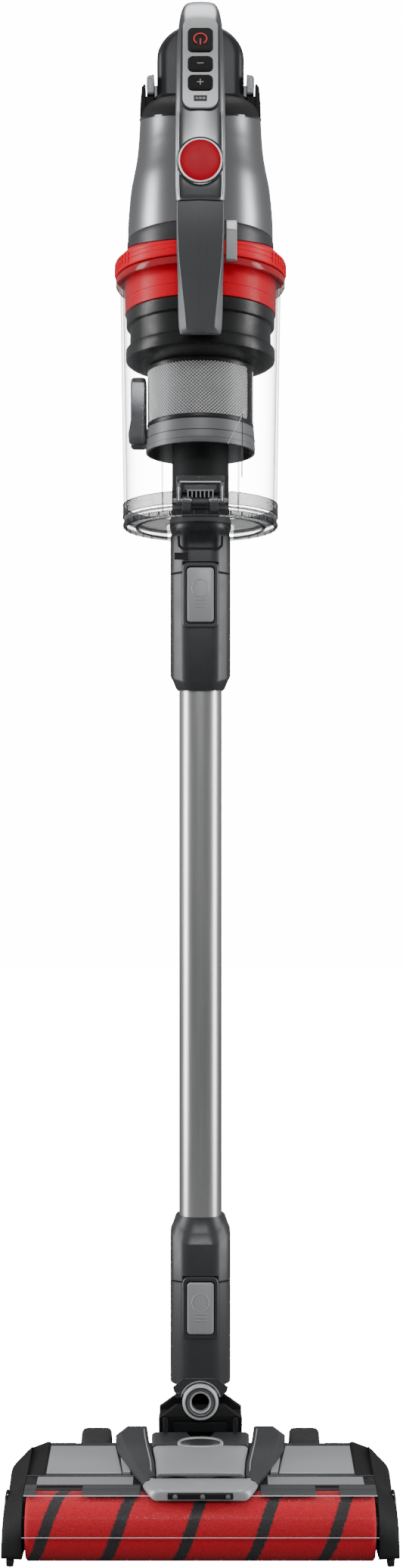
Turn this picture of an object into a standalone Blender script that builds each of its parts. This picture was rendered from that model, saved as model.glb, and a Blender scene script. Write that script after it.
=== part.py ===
"""Cordless upright stick vacuum cleaner: floor nozzle with a soft front roll and a bristle rear roll,
yoke and neck, aluminium wand, hinged clear dust cup with a cyclone separator, motor unit and a looped handle.
Metres, +Z up, front towards -Y. The wand's axis is X = 0, Y = YW."""
import math

import bmesh
import bpy
from mathutils import Matrix, Vector

for o in list(bpy.data.objects):
    bpy.data.objects.remove(o, do_unlink=True)

# ------------------------------------------------------------------ driving dimensions (millimetres)
YW = 14.65           # wand axis in Y, so that the whole object is centred on Y = 0
GAP = 0.3            # clearance between pieces that touch
WAND_R, WAND_WALL = 16.0, 1.5
COLLAR_W, COLLAR_D = 22.4, 22.0     # half width and half depth of the moulded collars
SEAM_LOW, SEAM_HIGH = 188.5, 714.0  # where the wand plugs into the neck, and the hand unit into the wand
SOCKET = 44.0                       # plug length
NOZ_HALF = 140.5                    # half width of the nozzle
FR_Y, FR_Z, FR_R = -73.0, 24.6, 24.0   # front soft roll
RR_Y, RR_Z, RR_R = -28.0, 21.5, 19.5   # rear bristle roll
MO_Y, MO_Z = 6.0, 22.0                 # nozzle motor
WH_Y, WH_R = 45.0, 32.0                # rear wheels
TILT_Y, TILT_Z = 8.0, 49.5             # tilt pivot, along X
SWIVEL_Z = 101.0                       # swivel pivot, along Y
CUP_Z0, CUP_Z1 = 757.0, 935.5
CUP_R0, CUP_R1 = 57.4, 60.2
RING_R = 63.8
HOUSE_Z0, HOUSE_Z1 = 963.3, 1056.0
MM = 0.001

MATS = {
    "silver": ((0.36, 0.37, 0.38), 0.35, 0.6), "graphite": ((0.07, 0.073, 0.078), 0.4, 0.1),
    "black": ((0.012, 0.012, 0.013), 0.45, 0.0), "aluminium": ((0.5, 0.5, 0.51), 0.3, 0.9),
    "light": ((0.33, 0.34, 0.35), 0.4, 0.2), "clear": ((0.8, 0.82, 0.84), 0.05, 0.0),
    "red": ((0.6, 0.01, 0.01), 0.35, 0.0), "steel": ((0.6, 0.6, 0.6), 0.3, 1.0),
    "rubber": ((0.02, 0.02, 0.02), 0.8, 0.0), "foam": ((0.1, 0.1, 0.12), 0.9, 0.0),
}


def material(key):
    m = bpy.data.materials.get(key)
    if m is None:
        m = bpy.data.materials.new(key)
        m.use_nodes = True
        b = m.node_tree.nodes["Principled BSDF"]
        c, r, me = MATS[key]
        b.inputs["Base Color"].default_value = (*c, 1)
        b.inputs["Roughness"].default_value = r
        b.inputs["Metallic"].default_value = me
    return m


def finish(name, bm, mat, origin=(0, 0, 0), smooth=40):
    """Makes the object. Points are in millimetres from the wand's axis at floor level; origin is the joint's centre."""
    bmesh.ops.remove_doubles(bm, verts=bm.verts, dist=1e-4)
    bmesh.ops.recalc_face_normals(bm, faces=bm.faces)
    o = Vector(origin)
    for v in bm.verts:
        v.co = (v.co - o) * MM
    me = bpy.data.meshes.new(name)
    bm.to_mesh(me)
    bm.free()
    me.shade_smooth()
    me.set_sharp_from_angle(angle=math.radians(smooth))
    ob = bpy.data.objects.new(name, me)
    bpy.context.scene.collection.objects.link(ob)
    ob.location = ((o.x) * MM, (o.y + YW) * MM, o.z * MM)
    me.materials.append(material(mat))
    return ob


def skin(bm, rings, loop=False, caps=True):
    """Joins rings of the same number of points. loop joins the last to the first."""
    vs = [[bm.verts.new(p) for p in r] for r in rings]
    n = len(vs[0])
    pairs = list(zip(vs, vs[1:])) + ([(vs[-1], vs[0])] if loop else [])
    for a, b in pairs:
        for i in range(n):
            j = (i + 1) % n
            bm.faces.new((a[i], a[j], b[j], b[i]))
    if not loop and caps:
        bm.faces.new(list(reversed(vs[0])))
        bm.faces.new(vs[-1])


def lathe(name, profile, mat, n=40, axis="Z", at=(0, 0, 0), origin=None, closed=True):
    """Turns a profile of (radius, height) about an axis through at. Heights are absolute along that axis.
    A profile that starts and ends on the axis makes a solid piece, any other a ring."""
    bm = bmesh.new()
    cx, cy, cz = at
    solid = profile[0][0] < 0.05 and profile[-1][0] < 0.05
    if solid:
        profile = [(0.0, profile[0][1])] + list(profile[1:-1]) + [(0.0, profile[-1][1])]
    rows = []
    for r, h in profile:
        row = []
        for i in range(n):
            a = 2 * math.pi * i / n
            u, w = r * math.cos(a), r * math.sin(a)
            row.append({"Z": (cx + u, cy + w, h), "X": (h, cy + u, cz + w), "Y": (cx + u, h, cz + w)}[axis])
        rows.append(row)
    if closed and not solid:
        skin(bm, rows, loop=True)
    else:
        skin(bm, rows, caps=not solid)
    return finish(name, bm, mat, origin or at)


def rsect(hw, y0, y1, z, r, n=4, slope=0.0, zb=None):
    """A rounded rectangle at height z, from y0 (front) to y1, half width hw, corner radius r.
    slope lowers the points in front of the axis."""
    r = min(r, hw - 0.01, (y1 - y0) / 2 - 0.01)
    pts = []
    for cx, cy, a0 in ((hw - r, y1 - r, 0), (-hw + r, y1 - r, 90), (-hw + r, y0 + r, 180), (hw - r, y0 + r, 270)):
        for k in range(n + 1):
            a = math.radians(a0 + 90 * k / n)
            x, y = cx + r * math.cos(a), cy + r * math.sin(a)
            pts.append((x, y, z + slope * min(y, 0)))
    return pts


def osect(hw, hd, z, cut=0.52, slope=0.0, n=3):
    """A collar's section: an octagon with softened corners, half width hw, half depth hd."""
    base = []
    a, b = hw, hd
    c, d = hw * cut, hd * cut
    for x, y in ((a, -d), (a, d), (c, b), (-c, b), (-a, d), (-a, -d), (-c, -b), (c, -b)):
        base.append(Vector((x, y)))
    pts = []
    m = len(base)
    for i in range(m):
        p, q, s = base[i - 1], base[i], base[(i + 1) % m]
        u, w = (p - q).normalized() * 4.5, (s - q).normalized() * 4.5
        for k in range(n):
            t = k / (n - 1)
            e = (q + u) * (1 - t) ** 2 + q * 2 * t * (1 - t) + (q + w) * t ** 2
            pts.append((e.x, e.y, z + slope * min(e.y, 0)))
    return pts


def circ(r, z, n=24, y=0.0):
    """A circle with the same number and order of points as osect."""
    return [(r * math.cos(2 * math.pi * (i - 2.5) / n), y + r * math.sin(2 * math.pi * (i - 2.5) / n), z) for i in range(n)]


def loft(name, rings, mat, loop=False, origin=(0, 0, 0), smooth=40):
    bm = bmesh.new()
    skin(bm, rings, loop)
    return finish(name, bm, mat, origin, smooth)


def prism(name, poly, x0, x1, mat, origin=(0, 0, 0)):
    """Extrudes a polygon of (y, z) along X."""
    return loft(name, [[(x, y, z) for y, z in poly] for x in (x0, x1)], mat, origin=origin)


def block(name, x0, x1, y0, y1, z0, z1, mat, r=0.0, origin=(0, 0, 0)):
    """A box. r bevels its edges."""
    ob = loft(name, [[(x0, y0, z), (x1, y0, z), (x1, y1, z), (x0, y1, z)] for z in (z0, z1)], mat, origin=origin)
    if r:
        m = ob.modifiers.new("Bevel", "BEVEL")
        m.width, m.segments, m.limit_method = r * MM, 2, "ANGLE"
    return ob


def boolean(ob, cutter, op="DIFFERENCE"):
    m = ob.modifiers.new(op.title(), "BOOLEAN")
    m.object, m.operation, m.solver = cutter, op, "EXACT"
    cutter.hide_render = True
    cutter.display_type = "WIRE"
    return ob


# ------------------------------------------------------------------ floor nozzle
HOOD_A = 94.1                          # where the hood's arc runs tangent into its plate
HOOD_T = (FR_Y + 27.3 * math.cos(math.radians(HOOD_A)), FR_Z + 27.3 * math.sin(math.radians(HOOD_A)))


def deck(y):
    """Height of the nozzle's upper surface at depth y."""
    if y < HOOD_T[0]:
        return FR_Z + math.sqrt(max(0.0, 27.3 ** 2 - (y - FR_Y) ** 2))
    pts = (HOOD_T, (-50.0, 53.6), (10.0, 62.4), (26.5, 50.0), (60, 40))
    for (a, za), (b, zb) in zip(pts, pts[1:]):
        if a <= y <= b:
            return za + (zb - za) * (y - a) / (b - a)
    return pts[0][1] if y < pts[0][0] else pts[-1][1]


base = prism("nozzle_base", [(-7.5, 5), (26, 5), (26, 47.2), (23.8, 47.2), (23.8, 7.5), (-5.3, 7.5), (-5.3, 42), (-7.5, 42)], -125.5, 125.5, "graphite")
for s in (-1, 1):
    boolean(base, block(f"cut_base_wheel{s}", *sorted((s * 66.8, s * 94.0)), 9.5, 90, -5, 90, "black"))
boolean(base, block("cut_base_centre", -34.6, 34.6, 18, 40, 34.5, 90, "black"))
for s in (-1, 1):
    # ears that hold the tilt pivot, and the arms that hold the rear wheels
    ear = prism(f"ear{s}", [(-6.5, 36), (25.6, 36), (25.6, 44.2), (20, 48.6), (14, 53.6), (9, 57.6), (-6.5, 55.4)], *sorted((s * 34.8, s * 43.8)), "graphite")
    hole = lathe(f"ear_hole{s}", [(0.01, s * 30), (5.3, s * 30), (5.3, s * 41.8), (0.01, s * 41.8)], "black", 20, "X", (0, TILT_Y, TILT_Z))
    boolean(base, ear, "UNION")
    boolean(base, hole)
    arm = block(f"arm{s}", *sorted((s * 56, s * 66.2)), 24.5, 57, 18, 44, "graphite")
    boolean(base, arm, "UNION")
    stub = lathe(f"stub{s}", [(0.01, s * 60), (4, s * 60), (4, s * 91.4), (0.01, s * 91.4)], "steel", 16, "X", (0, WH_Y, WH_R))
    boolean(base, stub, "UNION")

t = 2.2
cover = prism("nozzle_top_cover", [(-49.5, 53.6), (10, 62.4), (26.4, 49.4), (26.4, 47.7), (24.2, 47.7), (9.2, 60.0), (-49.1, 51.4)], -125.5, 125.5, "silver")
boolean(cover, block("cut_cover_yoke", -34.6, 34.6, -10.5, 60, 20, 90, "black"))
for s in (-1, 1):
    boolean(cover, block(f"cut_cover_wheel{s}", *sorted((s * 66.8, s * 94.0)), 9.5, 90, 20, 90, "black"))

# clear hood: an arc round the front roll, then a plate that rises to the cover
outer, inner = [], []
for k in range(11):
    a = math.radians(183 - k * (183 - HOOD_A) / 10)
    outer.append((FR_Y + 27.3 * math.cos(a), FR_Z + 27.3 * math.sin(a)))
    inner.append((FR_Y + 25.5 * math.cos(a), FR_Z + 25.5 * math.sin(a)))
outer.append((-50.0, 53.6))
inner.append((-50.0, 51.6))
hood = prism("roll_window", outer + inner[::-1], -125.5, 125.5, "clear")


def arm_rings(s):
    rings = []
    for y, xo, xi, h in ((9.9, 64, 40.2, 12.6), (-8, 62, 38.6, 11.4), (-22, 58.5, 36.9, 9.8), (-45, 50.5, 33.4, 7.4), (-62, 44.6, 32.8, 5.8), (-66, 43.2, 35.6, 5.5), (-73, 41.2, 35.8, 5.0), (-76, 40.4, 36, 4.6)):
        zb = deck(y) + 0.6
        rings.append([(s * xo, y, zb), (s * xi, y, zb), (s * xi, y, zb + h), (s * (xo - 9 if y > 0 else xo - 3.5), y, zb + h), (s * xo, y, zb + h * 0.45)])
    return rings


loft("frame_arm_left", arm_rings(-1), "graphite")
loft("frame_arm_right", arm_rings(1), "graphite")
rings = []
for y, hw, top in ((-15, 36.2, 74.2), (-22, 35.6, 70.5), (-40, 33.2, 64.3), (-58, 32.2, 59.8), (-62, 32.2, 58.8), (-66, 35.0, 57.8), (-74, 35.0, 56.6), (-78, 35.0, 56.0), (-82, 34.6, 55.2), (-86, 34.2, 54.3), (-88.5, 33.6, 53.6), (-90.5, 32.6, 52.4)):
    zb = deck(y) + 0.6
    rings.append([(-hw, y, zb), (hw, y, zb), (hw, y, top - 1.4), (hw - 4, y, top), (-hw + 4, y, top), (-hw, y, top - 1.4)])
loft("centre_plate", rings, "silver")
block("headlight_bar", -23, 23, -93.4, -90.9, 47.4, 51.6, "black")

# end caps, hollow on the right for the belt
def cap_outline(x, inset, front):
    pts = [(-96.5, 8), (-97.5, 24), (-95, 36), (-88, 46), (-76, 53.0), (-50, 55.6), (6, 64.6), (26, 51), (28, 10), (22, 5.5), (-92, 5.8)]
    cy, cz = -35, 26
    out = []
    for y, z in pts:
        d = Vector((y - cy, z - cz))
        k = 1 - inset / d.length if z > 20 else 1 - 0.35 * inset / d.length
        out.append((x, cy + d.x * k, cz + d.y * k))
    return out


for s, nm in ((-1, "left_end_cap"), (1, "right_end_cap")):
    cap = loft(nm, [cap_outline(s * 125.9, 0, 0), cap_outline(s * 131.5, 1.5, 0), cap_outline(s * NOZ_HALF, 13, 0)], "black")
    for i, (y, z) in enumerate(((FR_Y, FR_Z), (RR_Y, RR_Z), (MO_Y, MO_Z))):
        if s < 0 and i == 2:
            continue
        boolean(cap, lathe(f"cut_{nm}{i}", [(0.01, s * 120), (3.4, s * 120), (3.4, s * 136.4), (0.01, s * 136.4)], "black", 16, "X", (0, y, z)))
    if s > 0:
        boolean(cap, prism("cut_belt_space", [(-88.5, 24.6), (-84, 35.5), (-73, 40.6), (-30, 35.4), (6, 31.6), (13.4, 29), (16.4, 22), (13.4, 15.4), (6, 12.8), (-30, 7.8), (-73, 8.4), (-84, 13.2)], 124, 134.2, "black"))
    boolean(cap, block(f"cut_{nm}_wheel", *sorted((s * 131, s * 138.2)), -93.2, -80.8, -3, 12.5, "black"))
    lathe(f"front_wheel_{'left' if s < 0 else 'right'}", [(0.01, s * 131.8), (5.0, s * 131.8), (5.0, s * 137.4), (0.01, s * 137.4)], "rubber", 16, "X", (0, -87, 5.0), closed=False)
    lathe(f"rear_wheel_{'left' if s < 0 else 'right'}",
          [(4.5, s * 68.3), (28, s * 68.3), (31, s * 69.5), (WH_R, s * 72.5), (WH_R, s * 87.5), (31, s * 90.5), (28, s * 91.9), (4.5, s * 91.9)], "black", 32, "X", (0, WH_Y, WH_R))

# rolls, motor and belt
lathe("front_roll_core", [(0.01, -136), (3.1, -136), (3.1, -124.5), (17, -124.2), (17, 124.2), (6, 124.5), (6, 126.8), (12, 127), (12, 132.6), (3.1, 132.8), (3.1, 136), (0.01, 136)], "graphite", 24, "X", (0, FR_Y, FR_Z), closed=False)
lathe("front_roll_sleeve", [(17.3, -123.8), (FR_R - 1, -123.8), (FR_R, -122.5), (FR_R, 122.5), (FR_R - 1, 123.8), (17.3, 123.8)], "red", 32, "X", (0, FR_Y, FR_Z))
rings = []
for x, kind in [(-136, 0), (-124.6, 0)] + [(-124.2 + 248.4 * k / 22, 1) for k in range(23)] + [(124.6, 2), (126.8, 2), (127, 3), (132.6, 3), (132.8, 0), (136, 0)]:
    row = []
    for i in range(20):
        a = 2 * math.pi * i / 20
        if kind == 1:
            tw = x / 248.4 * math.pi * 1.5
            r = 12 + (RR_R - 12) * max(0.0, math.cos(2 * (a - tw))) ** 3
        else:
            r = {0: 3.1, 2: 5.5, 3: 9.4}[kind]
        row.append((x, RR_Y + r * math.cos(a), RR_Z + r * math.sin(a)))
    rings.append(row)
loft("rear_brush_roll", rings, "red", origin=(0, RR_Y, RR_Z))
lathe("nozzle_motor", [(0.01, -50), (8, -50), (11, -48.5), (11, 28), (8, 29.5), (0.01, 29.5)], "steel", 20, "X", (0, MO_Y, MO_Z), closed=False)
lathe("motor_shaft", [(0.01, 30), (2.5, 30), (2.5, 126.6), (5, 126.8), (5, 132.6), (3, 132.8), (3, 136), (0.01, 136)], "steel", 14, "X", (0, MO_Y, MO_Z), closed=False)


def belt_outline(extra):
    """Convex outline round the three pulleys."""
    pts = []
    for cy, cz, r in ((MO_Y, MO_Z, 5), (FR_Y, FR_Z, 12), (RR_Y, RR_Z, 9.4)):
        pts += [(cy + (r + extra) * math.cos(math.pi * k / 12), cz + (r + extra) * math.sin(math.pi * k / 12)) for k in range(24)]
    pts = sorted(set(pts))
    hull = []
    for seq in (pts, pts[::-1]):
        part = []
        for p in seq:
            while len(part) > 1 and (part[-1][0] - part[-2][0]) * (p[1] - part[-2][1]) - (part[-1][1] - part[-2][1]) * (p[0] - part[-2][0]) <= 1e-9:
                part.pop()
            part.append(p)
        hull += part[:-1]
    return hull


def resample(poly, n):
    loop = poly + [poly[0]]
    seg = [math.dist(a, b) for a, b in zip(loop, loop[1:])]
    total, out = sum(seg), []
    for k in range(n):
        d, i = total * k / n, 0
        while d > seg[i] and i < len(seg) - 1:
            d -= seg[i]
            i += 1
        f = d / seg[i]
        out.append((loop[i][0] + (loop[i + 1][0] - loop[i][0]) * f, loop[i][1] + (loop[i + 1][1] - loop[i][1]) * f))
    return out


inner = resample(belt_outline(0.7), 60)
outer = []
for i, p in enumerate(inner):
    q, r_ = inner[i - 1], inner[(i + 1) % 60]
    d = Vector((r_[0] - q[0], r_[1] - q[1])).normalized()
    outer.append((p[0] + d.y * 1.3, p[1] - d.x * 1.3))
loft("drive_belt", [[(127.4, y, z) for y, z in inner], [(132.2, y, z) for y, z in inner], [(132.2, y, z) for y, z in outer], [(127.4, y, z) for y, z in outer]], "rubber", loop=True)

# ------------------------------------------------------------------ yoke and neck
yoke = prism("tilt_yoke", [(TILT_Y + 14 * math.cos(math.radians(a)), TILT_Z + 14 * math.sin(math.radians(a))) for a in range(170, 371, 20)] + [(22.5, 82), (19, 98), (-19, 98), (-21, 90), (-8.5, 72)], -31, 31, "black", origin=(0, TILT_Y, TILT_Z))
boolean(yoke, prism("cut_yoke_slot", [(-14.6, 85.6), (14.6, 85.6), (14.6, 130), (-14.6, 130)], -40, 40, "black"))
for s in (-1, 1):
    boolean(yoke, loft(f"cut_yoke_side{s}", [[(s * 34, y, 86.5), (s * 34, y, 106), (s * 17.6, y, 106), (s * 17.6, y, 98.2), (s * 28.7, y, 89.8)] for y in (-30, 40)], "black"))
    boolean(yoke, lathe(f"trunnion{s}", [(0.01, s * 28), (5, s * 28), (5, s * 41.4), (0.01, s * 41.4)], "black", 20, "X", (0, TILT_Y, TILT_Z)), "UNION")
    lug = lathe(f"lug{s}", [(0.01, s * 15.2), (12.6, s * 15.2), (12.6, s * 21.0), (0.01, s * 21.0)], "black", 24, "Y", (0, 0, SWIVEL_Z))
    neck_of_lug = block(f"lug_root{s}", -12.6, 12.6, *sorted((s * 15.2, s * 19.0)), 86.4, SWIVEL_Z, "black")
    boolean(yoke, lug, "UNION")
    boolean(yoke, neck_of_lug, "UNION")
boolean(yoke, lathe("cut_yoke_pin", [(0.01, -40), (6.9, -40), (6.9, 40), (0.01, 40)], "black", 20, "Y", (0, 0, SWIVEL_Z)))
lathe("swivel_ring", [(4.5, -24.6), (8.6, -26.4), (13.2, -24.6), (13.4, -21.4), (6.5, -21.4), (6.5, 21.4), (11.0, 21.4), (11.0, 23.4), (4.5, 23.4)], "light", 32, "Y", (0, 0, SWIVEL_Z))

neck_rings = [osect(COLLAR_W, COLLAR_D, SEAM_LOW - 0.15), osect(COLLAR_W, COLLAR_D, 120.0), osect(COLLAR_W - 0.4, COLLAR_D - 0.6, 116.5), osect(COLLAR_W - 8, COLLAR_D - 5, 115.6),
              circ(13, 115.6), circ(13, 138), circ(17.9, 140), circ(17.9, SEAM_LOW - 0.15)]
neck = loft("nozzle_neck", neck_rings, "graphite", loop=True, origin=(0, 0, SWIVEL_Z))
knuckle = lathe("knuckle", [(0.01, -14), (13, -14), (13, 14), (0.01, 14)], "graphite", 24, "Y", (0, 0, SWIVEL_Z))
web = loft("knuckle_web", [[(-13, -14, SWIVEL_Z), (13, -14, SWIVEL_Z), (13, 14, SWIVEL_Z), (-13, 14, SWIVEL_Z)], [(-16, -14, 116.4), (16, -14, 116.4), (16, 14, 116.4), (-16, 14, 116.4)]], "graphite")
boolean(neck, knuckle, "UNION")
boolean(neck, web, "UNION")
boolean(neck, lathe("cut_knuckle", [(0.01, -40), (6.9, -40), (6.9, 40), (0.01, 40)], "black", 20, "Y", (0, 0, SWIVEL_Z)))


def boss(nm, z0, z1):
    """Raised frame round a release button, with the pocket as a separate cutter."""
    b = loft(nm, [[(x, y, z) for x, _, z in [(p[0], 0, (z0 + z1) / 2 + p[1]) for p in [(q[0], q[1]) for q in rsect(13.2, -(z1 - z0) / 2, (z1 - z0) / 2, 0, 4)]]] for y in (-23.4, -18.8)], "graphite")
    return b


def pocket(nm, z0, z1):
    return loft(nm, [[(p[0], y, (z0 + z1) / 2 + p[1]) for p in rsect(10.4, -(z1 - z0) / 2, (z1 - z0) / 2, 0, 2.5)] for y in (-30, -19.4)], "black")


def button(nm, z0, z1):
    b = loft(nm, [[(p[0], y, (z0 + z1) / 2 + p[1]) for p in rsect(hw, -(z1 - z0) / 2 + i, (z1 - z0) / 2 - i, 0, 2.2)] for y, hw, i in ((-25.2, 9.2, 0.8), (-24.4, 9.9, 0), (-22.0, 9.9, 0))], "light", origin=(0, -22, (z0 + z1) / 2))
    return b


boolean(neck, boss("boss_low", 147.5, 193.0), "UNION")
boolean(neck, pocket("pocket_low", 150.4, 189.8))
boolean(neck, lathe("clear_low", [(0.01, 141), (17.9, 141), (17.9, 260), (0.01, 260)], "black", 24))
button("neck_release_button", 151.0, 189.2)

# ------------------------------------------------------------------ wand
lathe("wand_tube", [(WAND_R, 204), (WAND_R, 652), (WAND_R - WAND_WALL, 652), (WAND_R - WAND_WALL, 204)], "aluminium", 32)
foot = loft("wand_foot", [osect(COLLAR_W, COLLAR_D, SEAM_LOW + 0.15), osect(COLLAR_W, COLLAR_D, 226.5, slope=0.4), osect(17.6, 17.6, 237.0, slope=0.66),
                          circ(16.4, 236.0), circ(16.4, 203.6), circ(14.4, 202), circ(14.4, SEAM_LOW - SOCKET), circ(17.5, SEAM_LOW - SOCKET), circ(17.5, SEAM_LOW + 0.15)], "graphite", loop=True)
# the bore's rim follows the sloping top in front
boolean(foot, block("cut_foot_boss", -13.6, 13.6, -30, -18.0, 180, 193.5, "black"))
boolean(foot, lathe("clear_foot", [(0.01, 204), (16.4, 204), (16.4, 260), (0.01, 260)], "black", 32))
head = loft("wand_head", [osect(COLLAR_W, COLLAR_D, SEAM_HIGH - 0.15), osect(COLLAR_W, COLLAR_D, 640.0, slope=0.36), osect(17.2, 17.2, 629.0, slope=0.14),
                          circ(16.4, 629.5), circ(16.4, 652.4), circ(14.4, 654), circ(14.4, 666), circ(17.9, 668.0), circ(17.9, SEAM_HIGH - 0.15)], "graphite", loop=True)
boolean(head, boss("boss_high", 672.8, 721.0), "UNION")
boolean(head, pocket("pocket_high", 676.0, 717.6))
boolean(head, lathe("clear_high", [(0.01, 669), (17.9, 669), (17.9, 760), (0.01, 760)], "black", 24))
button("wand_release_button", 676.6, 717.0)

# ------------------------------------------------------------------ dust cup, its door and the inlet neck
inneck = loft("inlet_neck", [osect(COLLAR_W, COLLAR_D, SEAM_HIGH + 0.15), osect(COLLAR_W, COLLAR_D, 744), circ(24.4, 749.4), circ(24.6, 751), circ(24.6, 756.6), circ(21.6, 758), circ(21.6, 760.4), circ(19.2, 760.4), circ(14.4, 744),
                             circ(14.4, SEAM_HIGH - SOCKET), circ(17.5, SEAM_HIGH - SOCKET), circ(17.5, SEAM_HIGH + 0.15)], "graphite", loop=True)
boolean(inneck, block("cut_inneck_boss", -13.6, 13.6, -30, -18.0, 700, 721.6, "black"))
HINGE_Y, HINGE_Z = -62.6, 758.5
door = lathe("cup_door", [(25.4, 751), (55, 751), (57.4, 752.5), (57.4, 756.6), (49, 756.6), (47, 753.4), (25.4, 753.4)], "clear", 40, origin=(0, HINGE_Y, HINGE_Z))
boolean(door, block("cut_door_slot", -25.4, 25.4, 0, 80, 745, 762, "clear"))
for s in (-1, 1):
    boolean(door, block(f"door_lug{s}", *sorted((s * 7.0, s * 13.0)), HINGE_Y, -54.6, 751.7, 756.0, "clear"), "UNION")
    boolean(door, block(f"door_riser{s}", *sorted((s * 7.0, s * 13.0)), HINGE_Y - 2.4, HINGE_Y + 2.4, 752.6, HINGE_Z, "clear"), "UNION")
    boolean(door, lathe(f"door_knuckle{s}", [(0.01, s * 7.0), (3.2, s * 7.0), (3.2, s * 13.0), (0.01, s * 13.0)], "clear", 20, "X", (0, HINGE_Y, HINGE_Z)), "UNION")
boolean(door, lathe("cut_door_pin", [(0.01, -30), (1.8, -30), (1.8, 30), (0.01, 30)], "black", 16, "X", (0, HINGE_Y, HINGE_Z)))
lathe("door_hinge_pin", [(0.01, -19.2), (1.5, -19.2), (1.5, 19.2), (0.01, 19.2)], "steel", 14, "X", (0, HINGE_Y, HINGE_Z))
CUP_OUT = lambda z: CUP_R0 + (CUP_R1 - CUP_R0) * (z - CUP_Z0) / (CUP_Z1 - CUP_Z0)
cup = lathe("dust_cup", [(CUP_R0 + 0.5, CUP_Z0), (CUP_R0 + 0.5, 767), (CUP_OUT(768), 768), (CUP_OUT(927.5), 927.5), (63.0, 929), (63.0, CUP_Z1),
                         (CUP_OUT(CUP_Z1) - 2, CUP_Z1), (CUP_OUT(768) - 2, 768), (CUP_R0 - 2.2, CUP_Z0)], "clear", 44)
# the hinge's fixed knuckles on the front of the cup
boolean(cup, block("hinge_block", -19.4, 19.4, -64.6, -56.4, 763.0, 771.0, "clear"), "UNION")
for x0, x1 in ((-19.4, -13.4), (-6.6, 6.6), (13.4, 19.4)):
    boolean(cup, block(f"hinge_leg{x0}", x0, x1, HINGE_Y - 2.0, HINGE_Y + 2.6, HINGE_Z, 764.0, "clear"), "UNION")
    boolean(cup, lathe(f"hinge_knuckle{x0}", [(0.01, x0), (3.2, x0), (3.2, x1), (0.01, x1)], "clear", 20, "X", (0, HINGE_Y, HINGE_Z)), "UNION")
boolean(cup, lathe("cut_cup_pin", [(0.01, -30), (1.8, -30), (1.8, 30), (0.01, 30)], "black", 16, "X", (0, HINGE_Y, HINGE_Z)))
# the tongue of the neck fills the door's slot, and the latch behind it holds the door's two arms
boolean(inneck, block("neck_tongue", -24.6, 24.6, 12, 50, 751.2, 754.8, "graphite"), "UNION")
latch = block("door_latch", -29, 29, 59.6, 62.2, 747.4, 775, "light", r=0.7, origin=(0, 61, 766))
boolean(latch, block("latch_hook", -29, 29, 52.5, 60.6, 747.0, 749.6, "light"), "UNION")
boolean(latch, block("cut_latch_hook", -25.6, 25.6, 40, 58.6, 740, 752, "light"))

# ------------------------------------------------------------------ separator
lathe("inlet_tube", [(19.6, 761), (21.5, 761), (21.3, 905), (19.4, 905)], "black", 28)
lathe("separator_skirt", [(39, 806), (41, 806), (40.6, 824), (22.0, 824), (22.0, 822), (38.6, 822)], "black", 36)
lathe("mesh_shroud", [(38.4, 824.3), (39.6, 824.3), (39.6, 869), (38.4, 869)], "steel", 36)
lathe("separator_baffle", [(36, 869.3), (40, 869.3), (54.6, 873.4), (55.8, 875), (55.8, 883), (53, 883.6), (52.6, 898.5), (55.4, 899.5), (55.6, 908.7), (22.0, 908.7), (22.0, 904), (36, 900)], "black", 40)
lathe("separator_collar", [(56.4, 909), (56.9, 935.7), (50, 935.7), (50, 909)], "red", 40)
lathe("pre_filter", [(10, 911), (49.2, 911), (49.2, 932), (10, 932)], "foam", 32)
lathe("cup_top_ring", [(50, 936), (63.2, 936), (RING_R, 937), (RING_R, 947.5), (59.3, 953.2), (54.8, 958.4), (50, 958.4)], "red", 44)
block("inlet_duct", -54.6, -42.4, -9, 9, 806, 861, "black", r=2)
block("inlet_flap", -52.6, -43.4, -10.6, -9.4, 811, 857, "rubber", origin=(-43.4, -10, 834))

# ------------------------------------------------------------------ motor unit
lathe("motor_base", [(18, 957), (49.6, 957), (49.6, 958.8), (54.6, 958.8), (54.6, 963), (18, 963)], "graphite", 40)
hp = [(54.4, HOUSE_Z0), (54.2, 975), (53.2, 990), (51.8, 1003), (49.2, 1016), (47.2, 1028), (46.0, 1042), (45.3, HOUSE_Z1)]
lathe("motor_housing", hp + [(r - 2.4, z) for r, z in hp[::-1]], "silver", 44)


def slope_top(ob, z0, z1, k):
    """Tilts what lies above z0 by k, fully from z1 up."""
    for v in ob.data.vertices:
        z = v.co.z / MM
        if z > z0:
            v.co.z += k * v.co.y * min(1.0, (z - z0) / (z1 - z0))
    return ob


slope_top(bpy.data.objects["motor_housing"], 1028.5, HOUSE_Z1, 0.29)
capobj = lathe("motor_cap", [(45.3, 1056.3), (44.4, 1061), (41.5, 1066), (36, 1070), (28, 1072.6), (8, 1073.6), (8, 1070.6), (27, 1069.6), (35, 1067), (39.6, 1063.2), (42.4, 1056.3)], "graphite", 40)
slope_top(capobj, 1028.5, HOUSE_Z1, 0.29)
spine = loft("handle_spine", [rsect(17, -21.8, -12.6, z, 4) for z in (1060, 1096)] + [rsect(13.0, -21.8, -12.6, 1117, 4)], "graphite")
boolean(capobj, block("cut_cap_battery", -33.1, 33.1, -11.9, 27.9, 1040, 1100, "black"))
boolean(capobj, spine, "UNION")
lathe("suction_motor", [(0.01, 974), (30, 974), (36, 977), (36, 1034), (20, 1040), (0.01, 1040)], "steel", 28, closed=False)
lathe("motor_impeller", [(0.01, 964.5), (38, 964.5), (38, 966), (16, 972), (0.01, 973)], "light", 28, closed=False)
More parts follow.
